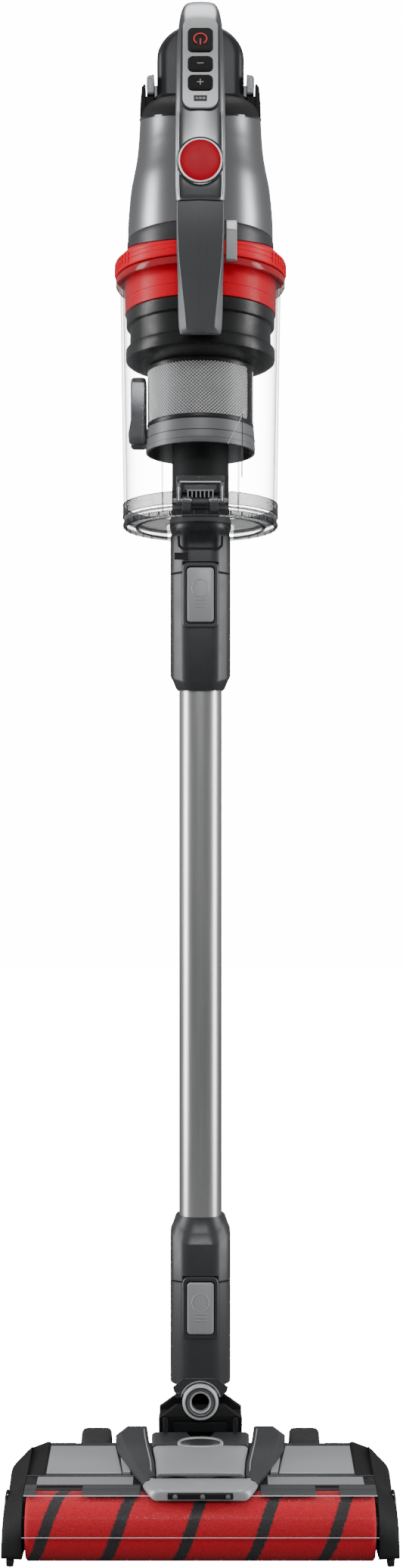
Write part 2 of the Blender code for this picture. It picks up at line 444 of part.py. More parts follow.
battery = loft("battery_pack", [rsect(32.2, -11.2, 27.2, 1043, 8), rsect(32.5, -11.3, 27.3, 1100, 8), rsect(31.6, -11.2, 26.8, 1106.3, 8), rsect(29.6, -11.0, 25.6, 1111, 8), rsect(26.8, -10.7, 24, 1115, 8), rsect(22, -10, 21, 1119.4, 7),
                                 rsect(16.6, -9, 17.6, 1122.6, 6), rsect(11, -7, 14, 1124.6, 5)], "graphite")
for s, nm in ((-1, "battery_latch_left"), (1, "battery_latch_right")):
    loft(nm, [[(s * 34.4, y, z) for y, z in ((-11, 1071.9), (2.6, 1071.9), (2.6, 1088), (-11, 1088))], [(s * 41.4, y, z) for y, z in ((-11, 1071.9), (2.6, 1071.9), (2.6, 1086), (-11, 1086))]], "light", origin=(s * 38, -3.5, 1079))

# ------------------------------------------------------------------ handle
FRONT = [(961.4, -101.0), (975, -103.5), (1000, -104.5), (1030, -102.2), (1060, -97.0), (1080, -91.0), (1096, -84.0), (1107, -75.5), (1115.5, -65.0), (1121.5, -52.0), (1125, -38)]
HALF = [(961.4, 17.2), (975, 17.8), (1000, 17.8), (1030, 17.4), (1060, 16.8), (1080, 16.2), (1096, 15.2), (1107, 13.8), (1115.5, 11.8), (1121.5, 9.6), (1125, 7.5)]


def at(table, z):
    for (a, p), (b, q) in zip(table, table[1:]):
        if a <= z <= b:
            return p + (q - p) * (z - a) / (b - a)
    return table[0][1] if z < table[0][0] else table[-1][1]


rows = []
for z, back in ((961.4, -88.5), (975, -91.5), (1000, -92.5), (1030, -90.2), (1060, -85.0), (1080, -79.0), (1091, -74.0), (1096, -66.0), (1100, -22.4), (1107, -22.4), (1115.5, -22.4), (1121.5, -22.4), (1125, -22.6)):
    rows.append(rsect(at(HALF, z), at(FRONT, z), back, z, 6.5, 5))
loft("handle_front_shell", rows, "silver")
rows = []
for z, f, b, hw in ((964.4, -88.1, -54.9, 15.0), (974, -90.5, -54.9, 15.6), (985, -91.5, -63, 16.0), (993, -92.0, -74.5, 16.2), (1005, -91.8, -77.5, 16.2), (1030, -89.8, -75.5, 16.0), (1060, -84.6, -69.5, 15.6), (1080, -78.6, -63, 15.0), (1090.4, -73.9, -57, 14.4)):
    rows.append(rsect(hw, f, b, z, 5.5, 5))
loft("handle_rear_grip", rows, "black")
rows = []
for z, f, hw in ((961.0, -100.8, 17.0), (940, -97.5, 16.8), (920, -92.5, 16.4), (900, -86, 15.4), (888, -80.8, 14.2), (880, -76.4, 12.8), (876.6, -72, 11.2)):
    rows.append(rsect(hw, f, -65.4, z, 5, 5))
loft("handle_tail", rows[::-1], "graphite")


def on_handle(z, out):
    """A point that stands out from the handle's front at height z, and the surface's outward normal in YZ."""
    y0, y1 = at(FRONT, z - 3), at(FRONT, z + 3)
    n = Vector((0, -6, y1 - y0)).normalized()
    n = Vector((0, -abs(n.y), n.z * 1.0))
    p = Vector((0, at(FRONT, z), z)) + n * out
    return p, n


def plate(nm, z0, z1, hw, o0, o1, r, mat, steps=8, origin=None):
    """A rounded plate that follows the handle's front from z0 to z1, between two offsets from it."""
    bm = bmesh.new()
    top, bot = [], []
    flat = rsect(hw, z0, z1, 0, r, 4)
    extra = []
    for i in range(len(flat)):
        a, b = flat[i], flat[(i + 1) % len(flat)]
        n = steps if abs(a[1] - b[1]) > 20 else 1
        for k in range(n):
            f = k / n
            extra.append((a[0] + (b[0] - a[0]) * f, a[1] + (b[1] - a[1]) * f))
    rings = []
    for off in (o0, o1):
        rings.append([tuple(on_handle(z, off)[0] + Vector((x, 0, 0))) for x, z in extra])
    skin(bm, rings)
    # the two faces are filled strip by strip, so that they follow the curve
    for f in [f for f in bm.faces if len(f.verts) > 4]:
        vs = list(f.verts)
        bm.faces.remove(f)
        rows_ = {}
        for v in vs:
            rows_.setdefault(round(v.co.z, 2), []).append(v)
        keys = sorted(rows_)
        pairs_ = [sorted(rows_[k], key=lambda v: v.co.x) for k in keys]
        for p, q in zip(pairs_, pairs_[1:]):
            if len(p) == 2 and len(q) == 2:
                bm.faces.new((p[0], p[1], q[1], q[0]))
    bmesh.ops.holes_fill(bm, edges=bm.edges, sides=0)
    return finish(nm, bm, mat, origin or (0, 0, 0))


bezel = plate("control_bezel", 1024.0, 1092.8, 12.7, 0.35, 3.2, 7, "light")
keys = (("power_button", 1064.4, 1084.8), ("minus_button", 1049.9, 1061.9), ("plus_button", 1035.9, 1047.7))
for nm, z0, z1 in keys:
    zc = (z0 + z1) / 2
    c, n = on_handle(zc, 0)
    for obname, grow, d0, d1, mat in ((f"cut_{nm}", 0.35, -3.0, 8.0, "black"), (nm, 0.0, 1.4, 4.0, "black")):
        hz = (z1 - z0) / 2 + grow
        up = Vector((0, n.z, -n.y))
        rings = [[tuple(c + n * d + Vector((p[0], 0, 0)) + up * p[1]) for p in rsect(8.6 + grow, -hz, hz, 0, 3.4, 3)] for d in (d0, d1)]
        ob = loft(obname, rings, mat, origin=tuple(c))
        if grow:
            boolean(bezel, ob)
zc = 1030.6
c, n = on_handle(zc, 0)
up = Vector((0, n.z, -n.y))
for obname, g, d0, d1 in (("cut_display", 0.3, -3.0, 8.0), ("status_display", 0.0, 0.6, 3.0)):
    rings = [[tuple(c + n * d + Vector((x, 0, 0)) + up * u) for x, u in ((-4.6 - g, -1.9 - g), (4.6 + g, -1.9 - g), (4.6 + g, 1.9 + g), (-4.6 - g, 1.9 + g))] for d in (d0, d1)]
    ob = loft(obname, rings, "black", origin=tuple(c))
    if g:
        boolean(bezel, ob)
c, n = on_handle(987.5, 0)
lathe("round_badge", [(0.01, -106.3), (14.4, -106.3), (15.2, -105.9), (15.2, -104.9), (0.01, -104.9)], "red", 32, "Y", (0, 0, 987.5), closed=False)
block("bin_release_button", 18.0, 26.0, -69.6, -65.2, 929, 957, "light", r=0.8, origin=(22, -67, 943))
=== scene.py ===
"""Studio scene of the cordless stick vacuum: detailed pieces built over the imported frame."""
import math
import bmesh
import bpy
from mathutils import Matrix, Vector


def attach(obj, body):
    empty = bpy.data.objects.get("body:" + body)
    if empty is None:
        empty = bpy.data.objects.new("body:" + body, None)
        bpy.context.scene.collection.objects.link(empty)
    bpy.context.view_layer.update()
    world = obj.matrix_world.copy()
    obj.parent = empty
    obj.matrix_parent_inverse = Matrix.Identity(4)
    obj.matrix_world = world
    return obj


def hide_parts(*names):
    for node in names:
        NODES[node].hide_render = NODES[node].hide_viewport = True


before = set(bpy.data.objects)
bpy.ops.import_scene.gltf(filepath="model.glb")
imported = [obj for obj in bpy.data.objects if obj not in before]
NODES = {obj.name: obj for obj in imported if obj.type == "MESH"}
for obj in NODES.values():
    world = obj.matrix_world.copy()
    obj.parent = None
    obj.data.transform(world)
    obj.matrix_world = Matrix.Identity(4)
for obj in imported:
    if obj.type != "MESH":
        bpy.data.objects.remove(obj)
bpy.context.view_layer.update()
YW = 14.65
MM = 0.001
ROOT = bpy.context.scene.collection


# ------------------------------------------------------------------ node helpers
class Mat:
    """A Principled material and the few node patterns used here."""

    def __init__(self, name, base, rough=0.4, metal=0.0, **sockets):
        self.m = bpy.data.materials.new(name)
        self.m.use_nodes = True
        self.t = self.m.node_tree
        self.b = self.t.nodes["Principled BSDF"]
        self.b.inputs["Base Color"].default_value = (*base, 1)
        self.b.inputs["Roughness"].default_value = rough
        self.b.inputs["Metallic"].default_value = metal
        for k, v in sockets.items():
            self.b.inputs[k.replace("_", " ")].default_value = v
        self.base, self.rough = base, rough
        self._co = None
        self._nrm = None

    def n(self, kind, **props):
        node = self.t.nodes.new(kind)
        for k, v in props.items():
            setattr(node, k, v)
        return node

    def link(self, a, b):
        self.t.links.new(a, b)

    def co(self):
        if self._co is None:
            self._co = self.n("ShaderNodeTexCoord").outputs["Object"]
        return self._co

    def mapped(self, scale=(1, 1, 1), rot=(0, 0, 0), loc=(0, 0, 0), src=None):
        mp = self.n("ShaderNodeMapping")
        mp.inputs["Scale"].default_value = scale
        mp.inputs["Rotation"].default_value = rot
        mp.inputs["Location"].default_value = loc
        self.link(src or self.co(), mp.inputs["Vector"])
        return mp.outputs["Vector"]

    def noise(self, scale, detail=3.0, vec=None, rough=0.5):
        t = self.n("ShaderNodeTexNoise")
        t.inputs["Scale"].default_value = scale
        t.inputs["Detail"].default_value = detail
        t.inputs["Roughness"].default_value = rough
        self.link(vec or self.co(), t.inputs["Vector"])
        return t.outputs["Fac"]

    def voronoi(self, scale, vec=None, feature="F1"):
        t = self.n("ShaderNodeTexVoronoi", feature=feature)
        t.inputs["Scale"].default_value = scale
        self.link(vec or self.co(), t.inputs["Vector"])
        return t.outputs["Distance"]

    def ramp(self, fac, stops):
        r = self.n("ShaderNodeValToRGB")
        els = r.color_ramp.elements
        while len(els) < len(stops):
            els.new(0.5)
        for e, (p, c) in zip(els, stops):
            e.position = p
            e.color = (*c, 1) if not isinstance(c, float) else (c, c, c, 1)
        self.link(fac, r.inputs["Fac"])
        return r.outputs["Color"]

    def math(self, op, a, b=None, c=None):
        m = self.n("ShaderNodeMath", operation=op)
        for i, v in enumerate((a, b, c)):
            if v is None:
                continue
            if isinstance(v, (int, float)):
                m.inputs[i].default_value = v
            else:
                self.link(v, m.inputs[i])
        return m.outputs[0]

    def mix(self, fac, a, b):
        m = self.n("ShaderNodeMix", data_type="RGBA")
        for i, v in ((0, fac), (6, a), (7, b)):
            if isinstance(v, tuple):
                m.inputs[i].default_value = (*v, 1)
            elif isinstance(v, (int, float)):
                m.inputs[i].default_value = v
            else:
                self.link(v, m.inputs[i])
        return m.outputs[2]

    def colour(self, out):
        self.link(out, self.b.inputs["Base Color"])
        return self

    def vary(self, scale=18.0, amount=0.06):
        """Slow variation of the base colour, as moulded plastic and paint have."""
        f = self.noise(scale, 4)
        lo = tuple(max(0, c * (1 - amount)) for c in self.base)
        hi = tuple(min(1, c * (1 + amount)) for c in self.base)
        self.colour(self.ramp(f, [(0.3, lo), (0.7, hi)]))
        return self

    def roughness(self, scale=60.0, spread=0.06, vec=None, detail=4):
        f = self.noise(scale, detail, vec)
        self.link(self.ramp(f, [(0.3, max(0.02, self.rough - spread)), (0.7, min(1.0, self.rough + spread))]), self.b.inputs["Roughness"])
        return self

    def bump(self, height, strength=0.2, dist=0.0002):
        b = self.n("ShaderNodeBump")
        b.inputs["Strength"].default_value = strength
        b.inputs["Distance"].default_value = dist
        self.link(height, b.inputs["Height"])
        if self._nrm is not None:
            self.link(self._nrm, b.inputs["Normal"])
        self._nrm = b.outputs["Normal"]
        self.link(self._nrm, self.b.inputs["Normal"])
        return self

    def grain(self, scale=900.0, strength=0.25, dist=0.00012):
        return self.bump(self.noise(scale, 2), strength, dist)


M = {}


def add(key, mat):
    M[key] = mat.m
    return mat


add("satin_silver", Mat("satin_silver", (0.30, 0.308, 0.322), 0.30, 0.92)).vary(9, 0.03).roughness(12, 0.008)
add("satin_light", Mat("satin_light", (0.38, 0.388, 0.40), 0.36, 0.3)).vary(9, 0.03).roughness(12, 0.008)
add("graphite", Mat("graphite", (0.044, 0.046, 0.050), 0.38, 0.25)).vary(12, 0.06).roughness(60, 0.04).grain(700, 0.05, 0.00008)
add("graphite_gloss", Mat("graphite_gloss", (0.075, 0.079, 0.085), 0.24, 0.55, Coat_Weight=0.3, Coat_Roughness=0.12)).vary(12, 0.06).roughness(30, 0.03)
add("black_matte", Mat("black_matte", (0.008, 0.008, 0.009), 0.5, Specular_IOR_Level=0.35)).vary(16, 0.12).roughness(60, 0.05).grain(700, 0.08, 0.0001)
add("black_gloss", Mat("black_gloss", (0.009, 0.009, 0.010), 0.14, 0.0, Coat_Weight=0.6, Coat_Roughness=0.05)).vary(24, 0.15).roughness(70, 0.04)
add("button_grey", Mat("button_grey", (0.33, 0.335, 0.345), 0.42, 0.1)).vary(14, 0.05).roughness(60, 0.04).grain(700, 0.05, 0.0001)
add("red_gloss", Mat("red_gloss", (0.62, 0.0, 0.018), 0.36, 0.0, Specular_IOR_Level=0.10)).vary(30, 0.08).roughness(80, 0.05)
add("red_band", Mat("red_band", (0.74, 0.0, 0.018), 0.36, 0.0, Specular_IOR_Level=0.16)).vary(30, 0.08).roughness(80, 0.05)
add("rubber", Mat("rubber", (0.016, 0.016, 0.017), 0.72)).vary(30, 0.2).roughness(120, 0.08).grain(900, 0.4, 0.0002)
add("cap_black", Mat("cap_black", (0.016, 0.016, 0.017), 0.62, Specular_IOR_Level=0.14)).vary(16, 0.12).roughness(40, 0.05)
# near-black, almost without gloss: painted shade for the inside of a hole
add("void_shade_black", Mat("void_shade_black", (0.004, 0.004, 0.004), 0.8, Specular_IOR_Level=0.05)).vary(16, 0.12)
add("arm_grey", Mat("arm_grey", (0.050, 0.052, 0.056), 0.46, 0.0, Specular_IOR_Level=0.22)).vary(16, 0.06).roughness(40, 0.04)
add("bezel_silver", Mat("bezel_silver", (0.52, 0.53, 0.54), 0.32, 0.2)).vary(12, 0.05).roughness(30, 0.03)
add("battery_grey", Mat("battery_grey", (0.022, 0.023, 0.025), 0.38, 0.2, Specular_IOR_Level=0.35)).vary(12, 0.05).roughness(12, 0.01)
add("plate_silver", Mat("plate_silver", (0.38, 0.388, 0.40), 0.34, 0.25)).vary(12, 0.04).roughness(12, 0.01)
add("tail_grey", Mat("tail_grey", (0.115, 0.12, 0.127), 0.34, 0.45)).vary(12, 0.04).roughness(12, 0.01)
add("face_silver", Mat("face_silver", (0.222, 0.228, 0.239), 0.30, 0.92)).vary(9, 0.03).roughness(12, 0.008)
add("skirt_grey", Mat("skirt_grey", (0.155, 0.159, 0.167), 0.42, 0.2)).vary(12, 0.05).roughness(30, 0.03)
add("steel", Mat("steel", (0.55, 0.55, 0.56), 0.3, 1.0)).vary(50, 0.05).roughness(300, 0.08)

w = Mat("wand_metal", (0.50, 0.505, 0.515), 0.30, 0.95)
streak = w.mapped((1800, 1800, 14))
w.colour(w.ramp(w.noise(1.0, 4, streak), [(0.3, (0.50, 0.505, 0.515)), (0.7, (0.545, 0.55, 0.56))]))
w.roughness(1.0, 0.02, w.mapped((300, 300, 12)))
add("wand_metal", w)

f = Mat("foam", (0.055, 0.055, 0.06), 0.92)
f.vary(240, 0.35).bump(f.voronoi(700), 0.8, 0.0006)
add("foam", f)


def clear(name, tint, lo, hi, rough=0.05, ior=1.5, power=3.0, smear=0.02, spec=0.5):
    """Clear plastic: nearly see-through face on, darker and glossier towards its edges."""
    m = Mat(name, tint, rough, 0.0, IOR=ior, Specular_IOR_Level=spec)
    lw = m.n("ShaderNodeLayerWeight")
    lw.inputs["Blend"].default_value = 0.5
    p = m.math("POWER", lw.outputs["Facing"], power)
    haze = m.math("MULTIPLY", m.noise(14, 5), smear)
    a = m.math("ADD", m.math("MULTIPLY_ADD", p, hi - lo, lo), haze)
    m.link(a, m.b.inputs["Alpha"])
    m.vary(20, 0.05).roughness(12, 0.02)
    return add(name, m)


clear("clear_cup", (0.10, 0.103, 0.108), 0.006, 0.97, power=3.6, smear=0.008, spec=0.3)
clear("clear_hood", (0.10, 0.10, 0.105), 0.02, 0.5, 0.08, smear=0.01, spec=0.3)
clear("clear_light", (0.30, 0.308, 0.318), 0.74, 0.92, 0.2)
clear("clear_band", (0.075, 0.077, 0.081), 0.84, 0.92, 0.4, spec=0.12)
clear("clear_edge", (0.13, 0.135, 0.14), 0.42, 0.9, 0.14, spec=0.35)
clear("clear_door", (0.045, 0.047, 0.050), 0.52, 0.92, 0.14, spec=0.3)
clear("clear_foot", (0.045, 0.047, 0.050), 0.66, 0.95, 0.35, smear=0.0, spec=0.08)
clear("clear_disc", (0.20, 0.205, 0.21), 0.40, 0.75, 0.35, smear=0.0, spec=0.08)
clear("clear_pink", (0.46, 0.03, 0.04), 0.72, 0.9, 0.14, spec=0.25)


# ------------------------------------------------------------------ shape helpers (millimetres from the wand's axis)
def build(name, bm, mat, body, replaces=(), smooth=35, bevel=0.0, segs=3, sub=0, weld=True, warp=None):
    """Makes a piece from a mesh in millimetres and sets it on its body."""
    if weld:
        bmesh.ops.remove_doubles(bm, verts=bm.verts, dist=1e-4)
    if warp:
        for v in bm.verts:
            v.co = Vector(warp(*v.co))
    bmesh.ops.recalc_face_normals(bm, faces=bm.faces)
    for v in bm.verts:
        v.co = Vector((v.co.x, v.co.y + YW, v.co.z)) * MM
    me = bpy.data.meshes.new(name)
    bm.to_mesh(me)
    bm.free()
    ob = bpy.data.objects.new(name, me)
    ROOT.objects.link(ob)
    if mat:
        me.materials.append(M[mat])
    if bevel:
        m = ob.modifiers.new("Bevel", "BEVEL")
        m.width, m.segments, m.limit_method, m.angle_limit = bevel * MM, segs, "ANGLE", math.radians(32)
        m.harden_normals = False
    if sub:
        m = ob.modifiers.new("Subdivision", "SUBSURF")
        m.levels = m.render_levels = sub
    me.shade_smooth()
    me.set_sharp_from_angle(angle=math.radians(smooth))
    if body:
        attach(ob, body)
    if replaces:
        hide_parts(*replaces)
    return ob


def skin(bm, rings, loop=False, caps=True, mat=0):
    vs = [[bm.verts.new(p) for p in r] for r in rings]
    n = len(vs[0])
    for a, b in list(zip(vs, vs[1:])) + ([(vs[-1], vs[0])] if loop else []):
        for i in range(n):
            j = (i + 1) % n
            bm.faces.new((a[i], a[j], b[j], b[i])).material_index = mat
    if not loop and caps:
        bm.faces.new(list(reversed(vs[0]))).material_index = mat
        bm.faces.new(vs[-1]).material_index = mat


def turn(bm, profile, n=96, axis="Z", at=(0, 0, 0), a0=0.0, a1=360.0):
    """Adds a turned piece. A profile that starts and ends on the axis is solid, any other a ring."""
    cx, cy, cz = at
    solid = profile[0][0] < 0.05 and profile[-1][0] < 0.05
    rows = []
    for r, h in profile:
        row = []
        for i in range(n):
            a = math.radians(a0) + math.radians(a1 - a0) * i / n
            u, w = r * math.cos(a), r * math.sin(a)
            row.append({"Z": (cx + u, cy + w, h), "X": (h, cy + u, cz + w), "Y": (cx + u, h, cz + w)}[axis])
        rows.append(row)
    skin(bm, rows, loop=not solid, caps=False)


def lathe(name, profile, mat, body, replaces=(), n=96, axis="Z", at=(0, 0, 0), bevel=0.0, smooth=35, warp=None):
    bm = bmesh.new()
    turn(bm, profile, n, axis, at)
    return build(name, bm, mat, body, replaces, smooth, bevel, warp=warp)


def rsect(hw, y0, y1, z, r, n=8):
    r = min(r, hw - 0.01, (y1 - y0) / 2 - 0.01)
    pts = []
    for cx, cy, a0 in ((hw - r, y1 - r, 0), (-hw + r, y1 - r, 90), (-hw + r, y0 + r, 180), (hw - r, y0 + r, 270)):
        for k in range(n + 1):
            a = math.radians(a0 + 90 * k / n)
            pts.append((cx + r * math.cos(a), cy + r * math.sin(a), z))
    return pts


def osect(hw, hd, z, cut=0.52, slope=0.0, n=9, soft=5.0):
    base = [Vector(p) for p in ((hw, -hd * cut), (hw, hd * cut), (hw * cut, hd), (-hw * cut, hd), (-hw, hd * cut), (-hw, -hd * cut), (-hw * cut, -hd), (hw * cut, -hd))]
    pts, m = [], len(base)
    for i in range(m):
        p, q, s = base[i - 1], base[i], base[(i + 1) % m]
        u, w_ = (p - q).normalized() * soft, (s - q).normalized() * soft
        for k in range(n):
            t = k / (n - 1)
            e = (q + u) * (1 - t) ** 2 + q * 2 * t * (1 - t) + (q + w_) * t ** 2
            pts.append((e.x, e.y, z + slope * min(e.y, 0)))
    return pts


def circ(r, z, n=72, y=0.0):
    k = n / 8
    return [(r * math.cos(2 * math.pi * (i - k + 0.5) / n), y + r * math.sin(2 * math.pi * (i - k + 0.5) / n), z) for i in range(n)]


def loft(name, rings, mat, body, replaces=(), loop=False, smooth=35, bevel=0.0, sub=0, segs=3, warp=None):
    bm = bmesh.new()
    skin(bm, rings, loop)
    return build(name, bm, mat, body, replaces, smooth, bevel, segs, sub, warp=warp)


def prism(name, poly, x0, x1, mat, body, replaces=(), bevel=0.0, smooth=35, segs=3):
    return loft(name, [[(x, y, z) for y, z in poly] for x in (x0, x1)], mat, body, replaces, bevel=bevel, smooth=smooth, segs=segs)


def slab(name, x0, x1, y0, y1, z0, z1, mat, body, replaces=(), bevel=0.0, segs=3):
    return loft(name, [[(x0, y0, z), (x1, y0, z), (x1, y1, z), (x0, y1, z)] for z in (z0, z1)], mat, body, replaces, bevel=bevel, segs=segs)


def carve(ob, *cutters, op="DIFFERENCE"):
    """Applies Booleans now, under any bevel, so that the piece stays one plain mesh."""
    held = [(m.name, m.type) for m in ob.modifiers]
    later = []
    for m in list(ob.modifiers):
        if m.type in ("BEVEL", "SUBSURF"):
            later.append((m.type, getattr(m, "width", 0), getattr(m, "segments", 0), getattr(m, "levels", 0)))
            ob.modifiers.remove(m)
    for c in cutters:
        m = ob.modifiers.new("B", "BOOLEAN")
        m.object, m.operation, m.solver = c, op, "EXACT"
    bpy.context.view_layer.update()
    dg = bpy.context.evaluated_depsgraph_get()
    me = bpy.data.meshes.new_from_object(ob.evaluated_get(dg))
    old = ob.data
    ob.modifiers.clear()
    ob.data = me
    bpy.data.meshes.remove(old)
    for c in cutters:
        bpy.data.objects.remove(c, do_unlink=True)
    me.shade_smooth()
    me.set_sharp_from_angle(angle=math.radians(35))
    for kind, width, segs, levels in later:
        m = ob.modifiers.new(kind.title(), kind)
        if kind == "BEVEL":
            m.width, m.segments, m.limit_method, m.angle_limit = width, segs, "ANGLE", math.radians(32)
        else:
            m.levels = m.render_levels = levels
    return ob


def cutter(rings):
    return loft("cutter", rings, None, None)


def rod(r, h0, h1, axis="Y", at=(0, 0, 0), n=48):
    bm = bmesh.new()
    turn(bm, [(0.0, h0), (r, h0), (r, h1), (0.0, h1)], n, axis, at)
    return build("cutter", bm, None, None)


def paint(node, mat):
    """A better material on a CAD node that stays."""
    me = NODES[node].data
    me.materials.clear()
    me.materials.append(M[mat])


# ------------------------------------------------------------------ camera, floor and light
cam = bpy.data.cameras.new("camera")
cam.lens, cam.sensor_width, cam.sensor_fit = 46.9, 36.0, "AUTO"
cam.shift_y = 0.08283
cam.clip_end = 50
cam_ob = bpy.data.objects.new("camera", cam)
ROOT.objects.link(cam_ob)
cam_ob.location = (0.0008, -1.531 + YW * MM, 0.4613)
cam_ob.rotation_euler = (math.radians(90), 0, 0)
bpy.context.scene.camera = cam_ob

# a pale floor that runs out to the horizon on every side
bm = bmesh.new()
prof = [(-16.0, 0.0), (0.0, 0.0), (16.0, 0.0)]
rows = [[bm.verts.new((x, y, z - 0.0002)) for y, z in prof] for x in (-16, 16)]
for i in range(len(prof) - 1):
    bm.faces.new((rows[0][i], rows[1][i], rows[1][i + 1], rows[0][i + 1]))
me = bpy.data.meshes.new("sweep")
bm.to_mesh(me)
bm.free()
me.shade_smooth()
sweep = bpy.data.objects.new("sweep", me)
ROOT.objects.link(sweep)
sm = Mat("sweep_paper", (0.90, 0.90, 0.90), 0.85)
sm.vary(3, 0.01)
# the paper shows pure white, yet lights the object no more than grey paper would
path = sm.n("ShaderNodeLightPath")
sm.b.inputs["Emission Color"].default_value = (1, 1, 1, 1)
sm.link(sm.math("MULTIPLY", path.outputs["Is Camera Ray"], 16.0), sm.b.inputs["Emission Strength"])
sm.colour(sm.mix(path.outputs["Is Camera Ray"], (0.22, 0.22, 0.22), (0.9, 0.9, 0.9)))
sweep.data.materials.append(sm.m)

world = bpy.data.worlds.new("studio")
bpy.context.scene.world = world
world.use_nodes = True
wt = world.node_tree
bgn = wt.nodes["Background"]
bgn.inputs["Color"].default_value = (1, 1, 1, 1)
wp = wt.nodes.new("ShaderNodeLightPath")
wm_ = wt.nodes.new("ShaderNodeMath")
wm_.operation = "MULTIPLY_ADD"
wm_.inputs[1].default_value = 15.0
wm_.inputs[2].default_value = 0.27
wt.links.new(wp.outputs["Is Camera Ray"], wm_.inputs[0])
wt.links.new(wm_.outputs[0], bgn.inputs["Strength"])


def light(name, loc, aim, size, power, size_y=None):
    d = bpy.data.lights.new(name, "AREA")
    d.energy, d.size = power, size
    if size_y:
        d.shape, d.size_y = "RECTANGLE", size_y
    o = bpy.data.objects.new(name, d)
    ROOT.objects.link(o)
    o.location = loc
    o.rotation_euler = (Vector(aim) - Vector(loc)).to_track_quat("-Z", "Y").to_euler()
    o.visible_camera = False
    return o


light("key_left", (-1.5, -0.10, 0.72), (0, 0, 0.66), 0.42, 34, 2.1)
light("key_right", (1.5, -0.16, 0.72), (0, 0, 0.66), 0.36, 27, 2.1)
light("front_high", (-0.03, -2.3, 2.3), (0, 0, 0.9), 0.26, 10, 1.0)
light("top_soft", (0.0, 0.35, 2.6), (0, 0, 0.3), 1.1, 24)
light("front_low", (0.0, -2.2, 1.75), (0, -0.05, 0.05), 1.3, 15, 0.3)


# ------------------------------------------------------------------ more materials
def pile():
    """Soft roll: red pile with dark bristle rows that wind round it."""
    m = Mat("roll_pile", (0.55, 0.012, 0.02), 0.8, Sheen_Weight=0.12)
    sep = m.n("ShaderNodeSeparateXYZ")
    m.link(m.co(), sep.inputs[0])
    y = m.math("SUBTRACT", sep.outputs[1], (-73 + YW) * MM)
    z = m.math("SUBTRACT", sep.outputs[2], 24.6 * MM)
    ang = m.math("DIVIDE", m.math("ARCTAN2", z, m.math("MULTIPLY", y, -1.0)), 2 * math.pi)
    # one row, which goes round once in 51 mm of length
    lead = m.math("MULTIPLY_ADD", sep.outputs[0], 1 / 0.0512, m.math("MULTIPLY", ang, -1.0))
    ph = m.math("FRACT", m.math("ADD", lead, 10.655))
    d = m.math("ABSOLUTE", m.math("SUBTRACT", ph, 0.5))
    edge = m.math("ADD", d, m.math("MULTIPLY", m.math("SUBTRACT", m.noise(420, 3), 0.5), 0.06))
    stripe = m.ramp(edge, [(0.075, 1.0), (0.098, 0.0)])
    fine = m.noise(1.0, 3, m.mapped((900, 2400, 2400)))
    red = m.ramp(fine, [(0.25, (0.45, 0.0, 0.010)), (0.75, (0.95, 0.0, 0.022))])
    dark = m.ramp(fine, [(0.25, (0.012, 0.010, 0.012)), (0.75, (0.05, 0.04, 0.045))])
    m.colour(m.mix(stripe, red, dark))
    m.bump(fine, 0.6, 0.0006)
    m.bump(m.noise(160, 4), 0.5, 0.0008)
    return add("pile", m)


pile()
b = Mat("bristle", (0.36, 0.004, 0.008), 0.85)
b.bump(b.noise(1.0, 2, b.mapped((2600, 500, 500))), 0.8, 0.0006).vary(300, 0.4)
add("bristle", b)
lamp = Mat("lamp_lens", (0.16, 0.17, 0.18), 0.15, 0.0, IOR=1.45)
lamp.vary(200, 0.08).bump(lamp.voronoi(900), 0.3, 0.0003)
add("lamp", lamp)
scr = Mat("screen", (0.012, 0.013, 0.015), 0.3, 0.0, Specular_IOR_Level=0.2)
scr.vary(60, 0.15).roughness(120, 0.03)
add("screen", scr)
# red of the key icons, with a faint painted glow (emission) that lifts them above the light they get
ic = Mat("icon_red_glow", (0.80, 0.03, 0.03), 0.35, 0.0, Emission_Strength=0.25)
ic.b.inputs["Emission Color"].default_value = (0.9, 0.03, 0.03, 1)
ic.vary(200, 0.08)
add("icon_red_glow", ic)
ig = Mat("icon_grey", (0.30, 0.31, 0.32), 0.5)
ig.vary(200, 0.1)
add("icon_grey", ig)
wl = Mat("white_line", (0.80, 0.81, 0.82), 0.3, 0.1)
wl.vary(60, 0.05)
add("white_line", wl)
wm = Mat("wire_mesh", (0.76, 0.765, 0.77), 0.42, 0.3)
wm.vary(40, 0.08).roughness(60, 0.05)
add("wire_mesh", wm)
bs = Mat("black_silk", (0.012, 0.0125, 0.0135), 0.36, 0.0, Specular_IOR_Level=0.35)
bs.vary(12, 0.10).roughness(30, 0.04)
add("black_silk", bs)


# ------------------------------------------------------------------ hand unit: handle
def curve(table):
    """Smooth value along a table of (z, value)."""
    xs, ys = [a for a, _ in table], [b for _, b in table]
    n = len(xs)
    sl = [(ys[i + 1] - ys[i]) / (xs[i + 1] - xs[i]) for i in range(n - 1)]
    m = [sl[0]] + [0.0 if sl[i - 1] * sl[i] <= 0 else 2 * sl[i - 1] * sl[i] / (sl[i - 1] + sl[i]) for i in range(1, n - 1)] + [sl[-1]]

    def f(x):
        x = min(max(x, xs[0]), xs[-1])
        i = 0
        while i < n - 2 and x > xs[i + 1]:
            i += 1
        h = xs[i + 1] - xs[i]
        t = (x - xs[i]) / h
        return (1 + 2 * t) * (1 - t) ** 2 * ys[i] + t * (1 - t) ** 2 * h * m[i] + t * t * (3 - 2 * t) * ys[i + 1] + t * t * (t - 1) * h * m[i + 1]
    return f


